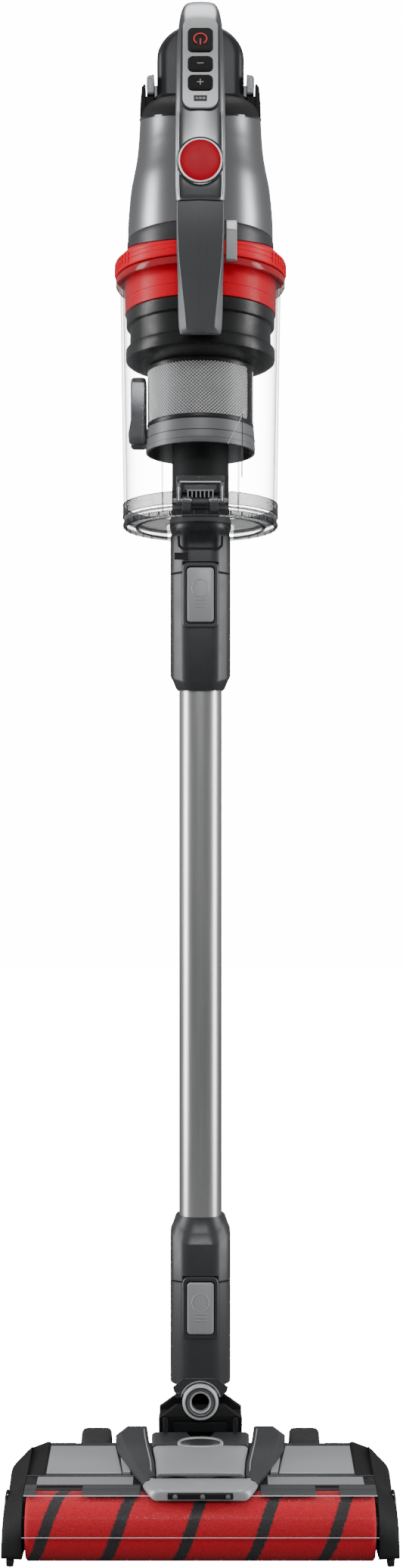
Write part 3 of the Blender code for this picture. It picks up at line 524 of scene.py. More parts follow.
FRONT = curve([(961.4, -101.0), (975, -103.5), (1000, -104.5), (1030, -102.2), (1060, -97.0), (1080, -91.0), (1096, -84.0), (1107, -75.5), (1115.5, -65.0), (1121.5, -52.0), (1125, -38)])
HALF = curve([(961.4, 17.2), (975, 17.8), (1000, 17.8), (1030, 17.4), (1060, 16.8), (1080, 16.2), (1096, 15.2), (1107, 13.8), (1115.5, 11.8), (1121.5, 9.6), (1125, 7.5)])
BACKS = [(961.4, -88.5), (975, -91.5), (1000, -92.5), (1030, -90.2), (1060, -85.0), (1080, -79.0), (1091, -74.0), (1096, -66.0), (1100, -22.4), (1125, -22.4)]


def lerp(table, z):
    for (a, p), (b_, q) in zip(table, table[1:]):
        if a <= z <= b_:
            return p + (q - p) * (z - a) / (b_ - a)
    return table[0][1] if z < table[0][0] else table[-1][1]


def hsect(hw, y0, y1, z, r, crown=0.0, n=8, m=14, rb=None):
    """Rounded rectangle with a front that bows forward at its middle."""
    pts = []
    rb = rb or r
    for cx, cy, a0, rr in ((hw - rb, y1 - rb, 0, rb), (-hw + rb, y1 - rb, 90, rb), (-hw + r, y0 + r, 180, r)):
        for k in range(n + 1):
            a = math.radians(a0 + 90 * k / n)
            pts.append([cx + rr * math.cos(a), cy + rr * math.sin(a), z])
    w = hw - r
    for k in range(1, m):
        pts.append([-w + 2 * w * k / m, y0, z])
    for k in range(n + 1):
        a = math.radians(270 + 90 * k / n)
        pts.append([hw - r + r * math.cos(a), y0 + r + r * math.sin(a), z])
    mid = (y0 + y1) / 2
    for q in pts:
        if q[1] < mid:
            q[1] += crown * (q[0] / hw) ** 2 * min(1.0, (mid - q[1]) / (mid - y0) * 1.6)
    return [tuple(q) for q in pts]


def face(z, off=0.0):
    """Point off the handle's front at height z, with the outward normal and the upward direction."""
    d = FRONT(z + 1.5) - FRONT(z - 1.5)
    nrm = Vector((0, -3, d)).normalized()
    return Vector((0, FRONT(z), z)) + nrm * off, nrm, Vector((0, nrm.z, -nrm.y))


zs = [961.4, 961.8, 962.6] + [965 + 3 * k for k in range(42)] + [1090.5, 1092, 1094, 1096, 1098, 1100, 1102.5, 1105, 1107.5, 1110, 1112.5, 1115, 1117, 1119, 1121, 1122.6, 1124, 1124.8]
rows = []
for z in sorted(set(zs)):
    r = 5.6 if z < 1110 else max(2.5, 5.6 - (z - 1110) * 0.2)
    ins = 0.9 if z == 961.4 else (0.35 if z == 961.8 else 0.0)
    rows.append(hsect(HALF(z) - ins, FRONT(z) + ins, lerp(BACKS, z), z, r, 2.0, rb=min(5.6, (lerp(BACKS, z) - FRONT(z)) / 2 - 0.3)))
shell = loft("hand_face_shell", rows, "face_silver", "power_unit", ["handle_front_shell"], smooth=50)

for s in (-1, 1):
    rows = []
    for k in range(24):
        z = 963 + 60 * k / 23
        c, nrm, up = face(z, 0)
        x = s * (HALF(z) - 1.9)
        w = 0.26 if 0 < k < 23 else 0.1
        back = 1.15
        rows.append([tuple(Vector((x + a, 0, 0)) + c + nrm * (o - back)) for a, o in ((-w, -0.8), (w, -0.8), (w, 0.32), (-w, 0.32))])
    loft(f"hand_face_line_{'left' if s < 0 else 'right'}", rows, "graphite", "power_unit", smooth=30)

rows = []
for z, f, b_, hw in ((964.4, -88.1, -54.9, 15.0), (974, -90.5, -54.9, 15.6), (985, -91.5, -63, 16.0), (993, -92.0, -74.5, 16.2), (1005, -91.8, -77.5, 16.2), (1030, -89.8, -75.5, 16.0), (1060, -84.6, -69.5, 15.6), (1080, -78.6, -63, 15.0), (1090.4, -73.9, -57, 14.4)):
    rows.append(rsect(hw, f, b_, z, 5.5, 8))
loft("hand_grip_back", rows, "rubber", "power_unit", ["handle_rear_grip"], bevel=0.8)
# raised bands across the grip, where the fingers close
for k in range(9):
    z = 1004 + 6.5 * k
    f = -77.5 + (z - 1005) * (2.0 / 25) if z < 1030 else -75.5 + (z - 1030) * 0.2
    slab(f"hand_grip_band_{k + 1}", -11.5, 11.5, f - 0.8, f + 0.45, z - 1.1, z + 1.1, "rubber", "power_unit", bevel=0.45)

# tail: two facets that meet on a centre line, with side bevels that widen downwards
TAIL = [(961.0, -100.8, 17.0, 0.8), (950, -99.4, 17.0, 0.8), (940, -97.5, 16.9, 0.9), (930, -95.2, 16.7, 1.1), (920, -92.5, 16.4, 1.6), (910, -89.5, 16.0, 2.4), (900, -86, 16.0, 3.6), (888, -80.8, 15.8, 4.8), (880, -76.4, 15.3, 5.2), (876.6, -72, 14.4, 5.0)]
rows = []
for z, f, hw, bv in TAIL[::-1]:
    rows.append([(hw - 1.2, -65.4, z), (-hw + 1.2, -65.4, z), (-hw, -66.6, z), (-hw, min(f + 3.2 + bv, -67.5), z), (-hw + bv, f + 2.0, z), (-0.25, f, z), (0.25, f, z), (hw - bv, f + 2.0, z), (hw, min(f + 3.2 + bv, -67.5), z), (hw, -66.6, z)])
loft("hand_tail_cover", rows, "tail_grey", "power_unit", ["handle_tail"], bevel=0.45, smooth=28)

# controls
def outline_plate(name, z0, z1, hw, o0, o1, r, mat, replaces=(), bevel=0.0, rows_n=34):
    """Rounded plate that follows the handle's front."""
    rings = []
    for k in range(rows_n + 1):
        t = -math.cos(math.pi * k / rows_n)
        z = (z0 + z1) / 2 + (z1 - z0) / 2 * t
        e = min(z - z0, z1 - z)
        w = hw if e >= r else hw - r + math.sqrt(max(0.0, r * r - (r - e) ** 2))
        w = max(w, 0.6)
        c, nrm, up = face(z, 0)
        rings.append([tuple(c + nrm * o + Vector((x, 0, 0))) for x, o in [(-w, o0), (w, o0)] + [(w - 2 * w * j / 8, o1) for j in range(9)]])
    return loft(name, rings, mat, "power_unit", replaces, bevel=bevel, smooth=32)


def on_face(name, z, pts, d0, d1, mat, body, replaces=(), bevel=0.0):
    c, nrm, up = face(z, 0)
    rings = [[tuple(c + nrm * d + Vector((p[0], 0, 0)) + up * p[1]) for p in pts] for d in (d0, d1)]
    return loft(name, rings, mat, body, replaces, bevel=bevel)


outline_plate("control_bezel_rim", 1023.0, 1093.8, 13.4, -1.2, 0.7, 7.6, "black_matte", bevel=0.3)
bez = outline_plate("control_bezel_face", 1024.0, 1092.8, 12.4, 0.3, 2.6, 7, "bezel_silver", ["control_bezel"], bevel=0.8)
KEYS = (("power", 1064.4, 1084.8), ("minus", 1049.9, 1061.9), ("plus", 1035.9, 1047.7))
cuts = []
for nm, z0, z1 in KEYS:
    hz = (z1 - z0) / 2 + 0.3
    cuts.append(on_face("cutter", (z0 + z1) / 2, [(p[0], p[1]) for p in rsect(8.9, -hz, hz, 0, 3.6, 6)], -0.6, 9, None, None))
cuts.append(on_face("cutter", 1030.6, [(p[0], p[1]) for p in rsect(4.9, -2.2, 2.2, 0, 0.8, 4)], 1.6, 9, None, None))
carve(bez, *cuts)
for nm, z0, z1 in KEYS:
    hz = (z1 - z0) / 2
    zc = (z0 + z1) / 2
    on_face(f"key_{nm}", zc, [(p[0], p[1]) for p in rsect(8.5, -hz + 0.05, hz - 0.05, 0, 3.4, 8)], 1.75, 3.6, "cap_black", f"{nm}_key", [f"{nm}_button"], bevel=0.55)
    on_face(f"key_{nm}_dish", zc, [(p[0], p[1]) for p in rsect(7.1, -hz + 1.4, hz - 1.4, 0, 2.6, 8)], 3.5, 3.76, "cap_black", f"{nm}_key", bevel=0.1)
c, nrm, up = face(1074.6, 0)
rows = []
for k in range(33):
    a = math.radians(-58 + 296 * k / 32)
    rows.append([tuple(c + nrm * d + Vector((r_ * math.cos(a), 0, 0)) + up * (r_ * math.sin(a) + 0.2)) for r_, d in ((4.1, 3.8), (4.9, 3.8), (4.9, 4.0), (4.1, 4.0))])
loft("key_power_ring", rows, "icon_red_glow", "power_key")
on_face("key_power_bar", 1074.6, [(p[0], p[1]) for p in rsect(0.42, -5.0, 0.2, 0, 0.2, 4)], 3.8, 4.0, "icon_red_glow", "power_key")
on_face("key_minus_sign", 1055.9, [(p[0], p[1]) for p in rsect(2.3, -0.38, 0.38, 0, 0.2, 4)], 3.8, 3.96, "icon_grey", "minus_key")
on_face("key_plus_sign", 1041.8, [(-2.3, -0.38), (-0.38, -0.38), (-0.38, -2.3), (0.38, -2.3), (0.38, -0.38), (2.3, -0.38), (2.3, 0.38), (0.38, 0.38), (0.38, 2.3), (-0.38, 2.3), (-0.38, 0.38), (-2.3, 0.38)][::-1], 3.8, 3.96, "icon_grey", "plus_key")
on_face("display_glass", 1030.6, [(p[0], p[1]) for p in rsect(4.6, -1.9, 1.9, 0, 0.6, 6)], 1.7, 2.9, "screen", "power_unit", ["status_display"], bevel=0.12)
for k in range(3):
    on_face(f"display_bar_{k + 1}", 1030.6, [(p[0] - 2.4 + 2.4 * k, p[1]) for p in rsect(0.9, -0.75, 0.75, 0, 0.2, 3)], 2.86, 2.94, "icon_grey", "power_unit")

# badge: plain red dome in a light rim, set in a dark ring
c, nrm, up = face(987.3, 0)
def badge(name, prof, mat, replaces=()):
    bm = bmesh.new()
    turn(bm, prof, 72, "Y", (0, 0, 987.3))
    return build(name, bm, mat, "power_unit", replaces, 35)


badge("badge_recess", [(14.9, -103.6), (16.9, -103.6), (16.9, -104.75), (16.6, -104.95), (15.3, -104.85), (14.9, -104.6)], "black_gloss")
badge("badge_rim", [(14.2, -104.2), (15.35, -104.2), (15.45, -105.7), (15.1, -106.15), (14.5, -106.2), (14.2, -105.8)], "white_line")
badge("badge_disc", [(0.0, -104.2), (14.3, -104.2), (14.3, -105.7), (13.4, -106.0), (10, -106.35), (5, -106.6), (0.0, -106.7)], "red_gloss", ["round_badge"])


# ------------------------------------------------------------------ hand unit: motor housing, top and battery
def tip(x, y, z):
    """Slopes the housing's top: lower in front, higher behind."""
    k = min(1.0, max(0.0, (z - 1028.5) / 27.5))
    return (x, y, z + 0.29 * y * k)


HOUSE = curve([(963.3, 54.4), (975, 54.2), (990, 53.2), (1003, 51.8), (1016, 49.2), (1028, 47.2), (1042, 46.0), (1056, 45.3)])
zz = [963.3, 963.8] + [966 + 3 * k for k in range(30)] + [1054.6, 1055.6, 1056.0]
out = [(HOUSE(z) - (0.5 if z in (963.3, 1056.0) else 0.0), z) for z in zz]
lathe("motor_shell", out + [(r - 2.4, z) for r, z in out[::-1]], "satin_silver", "power_unit", ["motor_housing"], n=128, warp=tip)
lathe("motor_shell_seam", [(45.0, 1055.2), (45.75, 1055.5), (45.75, 1056.9), (45.0, 1057.2)], "black_gloss", "power_unit", n=128, warp=tip)
capv = lathe("motor_top", [(45.1, 1057.0), (44.9, 1058.6), (44.0, 1061.6), (42.6, 1064.6), (40.4, 1067.2), (37.4, 1069.4), (33, 1071.4), (28, 1072.6), (18, 1073.4), (8, 1073.6), (8, 1070.6), (27, 1069.6), (35, 1067), (39.6, 1063.2), (42.4, 1057.0)],
             "cap_black", "power_unit", ["motor_cap"], n=128, warp=tip)
carve(capv, cutter([rsect(33.0, -11.9, 27.9, z, 8.6) for z in (1040, 1100)]))
rows = [rsect(17, -21.8, -12.6, 1056, 4), rsect(17, -21.8, -12.6, 1096, 4)] + [rsect(17 - 4.2 * t * t, -21.8, -12.6, 1096 + 21.4 * t, 4) for t in (0.3, 0.55, 0.8, 0.95, 1.0)]
loft("motor_spine", rows, "cap_black", "power_unit", bevel=0.6)
# a raised lip round the battery slot
rows = [rsect(hw, y0, y1, z, 9.4, 10) for hw, y0, y1, z in ((34.4, -13.2, 29.2, 1062), (34.4, -13.2, 29.2, 1070.6), (34.0, -12.7, 28.7, 1071.2), (33.1, -11.95, 27.95, 1071.2), (33.1, -11.95, 27.95, 1062))]
loft("battery_slot_lip", rows, "cap_black", "power_unit", loop=True, smooth=40)

BAT = [(1043, 32.2, -11.2, 27.2, 8), (1098, 32.5, -11.3, 27.3, 8), (1102, 32.4, -11.3, 27.2, 8), (1106.3, 31.6, -11.2, 26.8, 8), (1111, 29.6, -11.0, 25.6, 8), (1115, 26.8, -10.7, 24, 8), (1119.4, 22, -10, 21, 7), (1122.6, 16.6, -9, 17.6, 6), (1124.2, 12.6, -7.6, 14.8, 5), (1124.6, 11, -7, 14, 5)]
bt = [curve([(z, v[i]) for z, *v in BAT]) for i in range(4)]
rows = [rsect(bt[0](z), bt[1](z), bt[2](z), z, min(bt[3](z), 8), 10) for z in [1043, 1060, 1080, 1090, 1097] + [1098 + 1.5 * k for k in range(17)] + [1123.2, 1124.0, 1124.6]]
loft("battery_body", rows, "battery_grey", "battery", ["battery_pack"], smooth=40)
for s, nm in ((-1, "left"), (1, "right")):
    key = f"battery_key_{nm[0]}"
    rings = []
    for y, i in ((-11.2, 0.9), (-10.4, 0.1), (2.2, 0.1), (2.9, 0.9)):
        pts = [(34.4 + i * 0.3, 1072.0 + i), (40.0 - i, 1072.0 + i), (40.3 - i, 1077), (40.2 - i, 1084.0 - i), (39.2 - i, 1085.6 - i), (34.4 + i * 0.3, 1086.6 - i)]
        rings.append([(s * x, y, z) for x, z in pts])
    loft(f"battery_tab_{nm}", rings, "button_grey", key, [f"battery_latch_{nm}"], bevel=0.5)
    # a flat darker sheet on the tab's face: painted shade for a hollow that is not modelled
    slab(f"battery_tab_{nm}_hollow_shade", *sorted((s * 36.0, s * 39.0)), -11.45, -11.0, 1074.6, 1083.0, "tail_grey", key, bevel=0.2)
    # the web that carries the tab, behind it on the battery
    slab(f"battery_web_{nm}", *sorted((s * 31.0, s * 40.0)), 3.5, 5.2, 1072.8, 1083.6, "tail_grey", "battery", bevel=0.4)
    # dark guard outside the tab, which runs down into the housing's top
    rings = []
    for y, i in ((-9.5, 0.5), (-8.6, 0.0), (4.4, 0.0), (5.2, 0.5)):
        pts = [(40.8 + i * 0.4, 1056.5 + i), (45.2 - i * 0.3, 1056.0 + i), (44.8 - i * 0.3, 1066), (43.8 - i * 0.3, 1077.6), (41.3 + i * 0.2, 1080.4 - i), (40.8 + i * 0.4, 1078.0)]
        rings.append([(s * x, y, z) for x, z in pts])
    loft(f"battery_guard_{nm}", rings, "cap_black", "power_unit", bevel=0.35)
    slab(f"battery_seat_{nm}", *sorted((s * 34.6, s * 41.2)), -8.4, 4.2, 1056.0, 1070.8, "cap_black", "power_unit", bevel=0.5)

# ------------------------------------------------------------------ band and red ring under the housing
def lean(x, y, z):
    """The split between the red ring and the grey band drops towards the front."""
    k = min(1.0, max(0.0, (z - 946.5) / 12.0))
    return (x, y, z + (0.17 * y if y < 0 else 0.0) * k * min(1.0, max(0.0, (963.2 - z) / 4.4 if z > 958.8 else 1.0)))


def lean_base(x, y, z):
    k = min(1.0, max(0.0, (962.9 - z) / 3.8))
    return (x, y, z + (0.17 * y if y < 0 else 0.0) * k)


lathe("motor_band", [(50.4, 958.9), (54.9, 958.9), (54.95, 959.4), (54.9, 961.4), (54.75, 962.6), (54.4, 962.9), (50.4, 962.9)], "graphite", "power_unit", ["motor_base"], n=128, warp=lean_base)
prof = [(50.2, 936.1), (63.0, 936.1), (63.5, 936.5), (63.8, 937.2), (63.8, 940.2), (63.45, 940.45), (63.45, 940.95), (63.8, 941.2), (63.8, 943.6), (63.45, 943.85), (63.45, 944.35), (63.8, 944.6), (63.8, 946.6), (63.5, 947.5),
        (61.6, 949.9), (61.2, 950.1), (59.6, 952.2), (59.3, 952.9), (57.2, 955.4), (55.3, 957.7), (54.7, 958.4), (50.2, 958.4)]
lathe("cup_ring_red", prof, "red_band", "power_unit", ["cup_top_ring"], n=144, warp=lean)
# grip ribs on the ring's left and right
for s in (-1, 1):
    for k in range(9):
        a = math.radians(-90 + s * (56 + 4.2 * k))
        u = Vector((math.cos(a), math.sin(a), 0))
        t = Vector((-math.sin(a), math.cos(a), 0))
        rings = []
        for z, o in ((937.6, 63.4), (938.4, 64.35), (945.6, 64.35), (946.6, 63.4)):
            rings.append([tuple(u * (o if j in (1, 2) else 62.6) + t * w + Vector((0, 0, z))) for j, w in ((0, -0.75), (1, -0.55), (2, 0.55), (3, 0.75))])
        loft(f"ring_rib_{'l' if s < 0 else 'r'}{k + 1}", rings, "red_band", "power_unit", smooth=40)

# ------------------------------------------------------------------ separator, seen through the cup
lathe("collar_red", [(50, 909.1), (56.3, 909.1), (56.5, 909.8), (56.55, 917.2), (56.25, 917.4), (56.25, 917.9), (56.6, 918.1), (56.9, 934.9), (56.7, 935.6), (50, 935.6)], "red_band", "power_unit", ["separator_collar"], n=128)
lathe("baffle_body", [(36, 869.4), (39.6, 869.4), (41.2, 869.8), (47, 871.2), (54.2, 873.2), (55.5, 874.3), (55.8, 875.6), (55.8, 882.2), (55.2, 883.2), (53.2, 884.0), (52.9, 885.2), (52.6, 897.6), (53.0, 898.6), (55.2, 899.6), (55.5, 900.4), (55.6, 908.2), (55.2, 908.7), (22.0, 908.7), (22.0, 904), (36, 900)],
      "black_silk", "power_unit", ["separator_baffle"], n=128)
lathe("skirt_body", [(39, 806.1), (40.8, 806.1), (41.0, 806.6), (40.9, 812), (40.4, 820), (40.2, 823.4), (39.8, 823.9), (22.0, 823.9), (22.0, 822), (38.6, 822)], "skirt_grey", "power_unit", ["separator_skirt"], n=128)
for z in (809.6, 815.4):
    lathe(f"skirt_line_{int(z)}", [(40.5, z - 0.35), (41.15, z), (40.5, z + 0.35)], "black_gloss", "power_unit", n=128)
# metal mesh: a lattice of wires on a dark backing, in a frame of ribs
bm = bmesh.new()
NU, NV, MR = 92, 17, 39.25
grid = [[None] * NU for _ in range(2 * NV + 1)]
for j in range(2 * NV + 1):
    for i in range(NU):
        a = 2 * math.pi * (i + (0.5 if j % 2 else 0.0)) / NU
        grid[j][i] = bm.verts.new((MR * math.cos(a), MR * math.sin(a), 826.0 + 42.0 * j / (2 * NV)))
for j in range(0, 2 * NV - 1):
    for i in range(NU):
        if j % 2:
            q = (grid[j][i], grid[j + 1][(i + 1) % NU], grid[j + 2][i], grid[j + 1][i])
        else:
            q = (grid[j][i], grid[j + 1][i], grid[j + 2][i], grid[j + 1][(i - 1) % NU])
        bm.faces.new(q)
wire = build("mesh_wires", bm, "wire_mesh", "power_unit", ["mesh_shroud"], weld=False)
wf = wire.modifiers.new("Wireframe", "WIREFRAME")
wf.thickness, wf.use_even_offset = 0.00066, False
lathe("mesh_backing", [(36.6, 824.6), (38.2, 824.6), (38.2, 868.9), (36.6, 868.9)], "skirt_grey", "power_unit", n=96)
lathe("mesh_foot_band", [(38.0, 824.2), (39.7, 824.2), (39.9, 825.0), (39.9, 826.8), (39.6, 827.4), (38.0, 827.6)], "black_silk", "power_unit", n=128)
lathe("mesh_head_band", [(38.0, 865.4), (39.6, 865.8), (39.9, 866.8), (39.9, 868.6), (39.6, 869.1), (38.0, 869.1)], "black_silk", "power_unit", n=128)
for k, deg in enumerate((-22, 30, 96, 158)):
    a0 = math.radians(deg)
    rings = []
    for z, w in ((824.6, 6.4), (826.4, 5.6), (828.6, 4.6), (832, 4.2), (861, 4.2), (864.6, 4.8), (867, 5.8), (868.9, 6.8)):
        rows_ = []
        for j in range(7):
            a = a0 + (w / 39.9) * (j / 3 - 1)
            rows_.append((39.95 * math.cos(a), 39.95 * math.sin(a), z))
        for j in range(6, -1, -1):
            a = a0 + (w / 39.9) * (j / 3 - 1)
            rows_.append((38.0 * math.cos(a), 38.0 * math.sin(a), z))
        rings.append(rows_)
    loft(f"mesh_rib_{k + 1}", rings, "black_silk", "power_unit", smooth=40)
paint("pre_filter", "foam")
paint("suction_motor", "graphite")
paint("motor_impeller", "steel")

# ------------------------------------------------------------------ clear cup
CR = lambda z: 57.4 + (60.2 - 57.4) * (z - 757) / (935.5 - 757)
outer = [(57.4, 757.1), (57.9, 757.5), (57.9, 758.7), (57.9, 766.6), (57.6, 767.2), (CR(768.4), 768.4)]
outer += [(CR(768.4 + 8 * k), 768.4 + 8 * k) for k in range(1, 20)] + [(CR(928), 928.0), (60.6, 928.8), (62.4, 929.2), (62.95, 929.8), (63.0, 931.0), (63.0, 934.6), (62.7, 935.2), (62.2, 935.4)]
inner = [(CR(z) - 2.0, z) for z in (935.4, 900, 860, 820, 780, 768)] + [(55.2, 757.1)]
cup = lathe("cup_wall", outer + inner, "clear_cup", "cup", ["dust_cup"], n=144)
lathe("cup_flange_tint", [(61.0, 930.2), (63.2, 930.2), (63.3, 930.8), (63.3, 934.4), (63.1, 934.9), (61.0, 934.9)], "clear_pink", "cup", n=144)
lathe("cup_foot_band", [(57.9, 757.3), (58.15, 757.6), (58.15, 759.2), (57.8, 759.5), (57.8, 760.1), (58.15, 760.4), (58.15, 762.6), (57.8, 762.9), (57.8, 763.5), (58.15, 763.8), (58.15, 766.4), (57.9, 766.8)], "clear_foot", "cup", n=128)
for z in (757.9, 766.9):
    lathe(f"cup_foot_line_{int(z)}", [(57.2, z - 0.3), (58.3, z), (57.2, z + 0.3)], "black_matte", "cup", n=128)
# moulded ribs on the cup's wall
for i, (a, z0, z1) in enumerate(((58, 772, 924), (122, 772, 924), (-57, 778.8, 800))):
    ar = math.radians(a)
    u, t = Vector((math.cos(ar), math.sin(ar), 0)), Vector((-math.sin(ar), math.cos(ar), 0))
    loft(f"cup_rib_{i + 1}", [[tuple(u * (CR(z) - o) + t * w + Vector((0, 0, z))) for w, o in ((-0.5, 1.9), (0.5, 1.9), (0.5, 3.0), (-0.5, 3.0))] for z in (z0, z1)], "clear_edge", "cup")
# fine white diagonal streak low on the right: a painted highlight on the clear wall
rings = []
for k in range(13):
    t_ = k / 12
    a = math.radians(-56 - 14 * t_)
    z = 828 - 27 * t_
    u = Vector((math.cos(a), math.sin(a), 0))
    rings.append([tuple(u * (CR(z) + o) + Vector((0, 0, z + h))) for o, h in ((-0.15, -0.3), (0.12, -0.3), (0.12, 0.3), (-0.15, 0.3))])
loft("cup_wall_highlight", rings, "white_line", "cup")
ar = math.radians(-58.6)
u, t = Vector((math.cos(ar), math.sin(ar), 0)), Vector((-math.sin(ar), math.cos(ar), 0))
loft("cup_wall_seam", [[tuple(u * (CR(z) + o) + t * w + Vector((0, 0, z))) for w, o in ((-0.22, -0.2), (0.22, -0.2), (0.22, 0.2), (-0.22, 0.2))] for z in (778, 824)], "black_matte", "cup")
# inlet tube, duct and flap
lathe("inlet_tube_body", [(19.6, 761), (21.6, 761), (21.6, 764), (21.3, 764.6), (21.2, 800), (20.9, 905), (19.4, 905)], "cap_black", "cup", ["inlet_tube"], n=96)
loft("inlet_duct_body", [rsect(9.0, -52.2 + i, -40.2 - i, z, 3.6, 8) for z, i in ((811, 0.8), (811.8, 0.1), (813, 0.0), (858, 0.0), (860, 0.3), (861, 1.0))], "graphite", "cup", ["inlet_duct"], smooth=40,
     warp=lambda x, y, z: (y, -x, z))
loft("inlet_duct_panel", [[(x, y, z) for x, z in ((-50.0, 816), (-43.4, 816), (-43.4, 856), (-50.0, 856))] for y in (-8.8, -9.5)], "arm_grey", "cup", bevel=0.3)
rings = []
for z in (811.2, 812, 818, 824, 834, 856.2, 857):
    e = 0.35 if z in (811.2, 857) else 0.0
    bl = {818: 3.0, 824: 2.0, 834: 0.4, 812: 2.4, 811.2: 2.2}.get(z, 0.0)
    rings.append([(-50.8 - bl + e, -10.8 + e * 0.5, z), (-42.0 - e, -10.6 + e * 0.5, z), (-42.0 - e, -9.9 - e * 0.5, z), (-50.8 - bl + e, -9.7 - e * 0.5, z)])
loft("inlet_flap_blade", rings, "graphite_gloss", "flap", ["inlet_flap"])


# ------------------------------------------------------------------ cup door, hinge and latch
HY, HZ = -62.6, 758.5
dr = lathe("door_disc", [(25.3, 751.2), (26.0, 750.9), (46.6, 750.9), (48.6, 750.4), (55.4, 750.4), (56.8, 750.9), (57.4, 752.2), (57.4, 756.2), (57.0, 756.6), (49, 756.6), (47, 753.4), (25.3, 753.4)], "clear_disc", "door", ["cup_door"], n=128)
carve(dr, cutter([[(-25.4, 0, z), (25.4, 0, z), (25.4, 80, z), (-25.4, 80, z)] for z in (745, 762)]))
lathe("door_rim", [(55.2, 750.0), (57.2, 750.2), (57.7, 751.0), (57.7, 753.4), (57.45, 753.8), (57.3, 751.6), (56.8, 750.8), (55.2, 750.35)], "clear_foot", "door", n=128)
lathe("door_step", [(46.2, 750.0), (48.6, 749.8), (48.9, 750.4), (46.4, 750.8)], "clear_foot", "door", n=128, warp=lambda x, y, z: (x, min(y, 40.0), z))
n_rib = 0
for side in (-1, 1):
    for k in range(8):
        a = math.radians(-90 + side * (17.5 + 5.1 * k))
        u, t = Vector((math.cos(a), math.sin(a), 0)), Vector((-math.sin(a), math.cos(a), 0))
        n_rib += 1
        loft(f"door_rib_{n_rib}", [[tuple(u * o + t * w + Vector((0, 0, z))) for w, z in ((-1.75, 749.7), (1.75, 749.7), (1.75, 750.3), (-1.75, 750.3))] for o in (50.6, 54.2)], "white_line", "door")
for k in range(40):
    a = math.radians(-90 + 9 * (k - 19.5))
    u, t = Vector((math.cos(a), math.sin(a), 0)), Vector((-math.sin(a), math.cos(a), 0))
    if u.y > 0 and abs(u.x * 57) < 30:
        continue
    loft(f"door_tick_{k + 1}", [[tuple(u * o + t * w + Vector((0, 0, z))) for w, z in ((-0.35, 750.2), (0.35, 750.2), (0.35, 753.0), (-0.35, 753.0))] for o in (57.4, 58.1)], "graphite", "door")
lathe("door_seal", [(54.6, 755.4), (56.6, 755.4), (56.9, 756.0), (56.6, 756.75), (54.6, 756.75)], "clear_foot", "door", n=96)
# hinge arms of the door
for s in (-1, 1):
    x0, x1 = sorted((s * 7.1, s * 12.9))
    prism(f"door_arm_{'left' if s < 0 else 'right'}", [(-54.4, 751.7), (-54.4, 755.8), (-58, 756.0), (-59.6, 757.2), (-59.6, 759.8), (-60.9, 761.4), (-63.2, 761.6), (-65.2, 760.2), (-65.6, 757.6), (-64.8, 753.4), (-63, 751.7)], x0, x1, "clear_edge", "door", bevel=0.5)
lathe("door_pin", [(0.0, -19.6), (1.3, -19.6), (1.5, -19.2), (1.5, 19.2), (1.3, 19.6), (0.0, 19.6)], "steel", "cup", ["door_hinge_pin"], n=32, axis="X", at=(0, HY, HZ))
# hinge frame on the cup's front: an open clear frame with a dark window and comb teeth
for s in (-1, 1):
    x0, x1 = sorted((s * 14.0, s * 17.4))
    prism(f"hinge_side_{'left' if s < 0 else 'right'}", [(-57.0, 775.6), (-59.6, 776.6), (-62.2, 775.6), (-64.2, 771.6), (-65.0, 766), (-65.6, 760.6), (-65.4, 757.6), (-64.2, 755.8), (-62.4, 755.4), (-60.6, 756.2), (-59.6, 758.0), (-59.4, 762), (-57.2, 763.6)], x0, x1, "clear_edge", "cup", bevel=0.7)
    slab(f"hinge_line_{'left' if s < 0 else 'right'}", *sorted((s * 15.3, s * 16.1)), -66.0, -65.3, 757.6, 768.0, "white_line", "cup", bevel=0.2)
slab("hinge_top_bar", -17.3, 17.3, -64.2, -57.2, 772.2, 776.2, "clear_edge", "cup", bevel=0.9)
slab("hinge_white_line", -14.6, 14.6, -64.9, -64.0, 771.0, 772.0, "white_line", "cup", bevel=0.25)
slab("hinge_window", -13.6, 13.6, -63.4, -58.0, 763.8, 771.4, "black_matte", "cup", bevel=0.6)
slab("hinge_window_lip", -11.4, 11.4, -64.0, -63.2, 765.4, 769.6, "graphite_gloss", "cup", bevel=0.5)
for k in range(7):
    x = -9 + 3 * k
    slab(f"hinge_tooth_{k + 1}", x - 0.45, x + 0.45, -64.5, -63.1, 760.2, 765.2, "button_grey", "cup", bevel=0.25)
slab("hinge_middle", -6.4, 6.4, -65.4, -59.8, 755.6, 759.6, "graphite", "cup", bevel=1.1)
slab("hinge_comb_bar", -9.6, 9.6, -64.6, -63.4, 765.0, 765.8, "button_grey", "cup", bevel=0.2)
# latch behind
prism("latch_plate", [(59.6, 747.4), (62.2, 747.0), (62.6, 752), (62.9, 770), (62.2, 775), (60.4, 775.4), (59.8, 770)], -20.0, 20.0, "button_grey", "latch", ["door_latch"], bevel=0.7)
for s in (-1, 1):
    slab(f"latch_hook_{'left' if s < 0 else 'right'}", *sorted((s * 17.2, s * 20.0)), 52.6, 60.4, 747.1, 749.4, "button_grey", "latch", bevel=0.5)
for k in range(5):
    slab(f"latch_grip_{k + 1}", -14, 14, 62.6, 63.4, 757.5 + 3 * k, 758.9 + 3 * k, "button_grey", "latch", bevel=0.35)
# bin release tab behind the tail
prism("bin_release_tab", [(-69.4, 929.4), (-65.4, 929.2), (-65.3, 956.8), (-67.0, 957.2), (-69.6, 955.4), (-70.0, 948), (-69.8, 936)], 18.1, 26.2, "button_grey", "bin_key", ["bin_release_button"], bevel=0.8)
slab("bin_release_cap", 18.4, 26.0, -70.6, -66.2, 950.4, 957.4, "white_line", "bin_key", bevel=0.9)

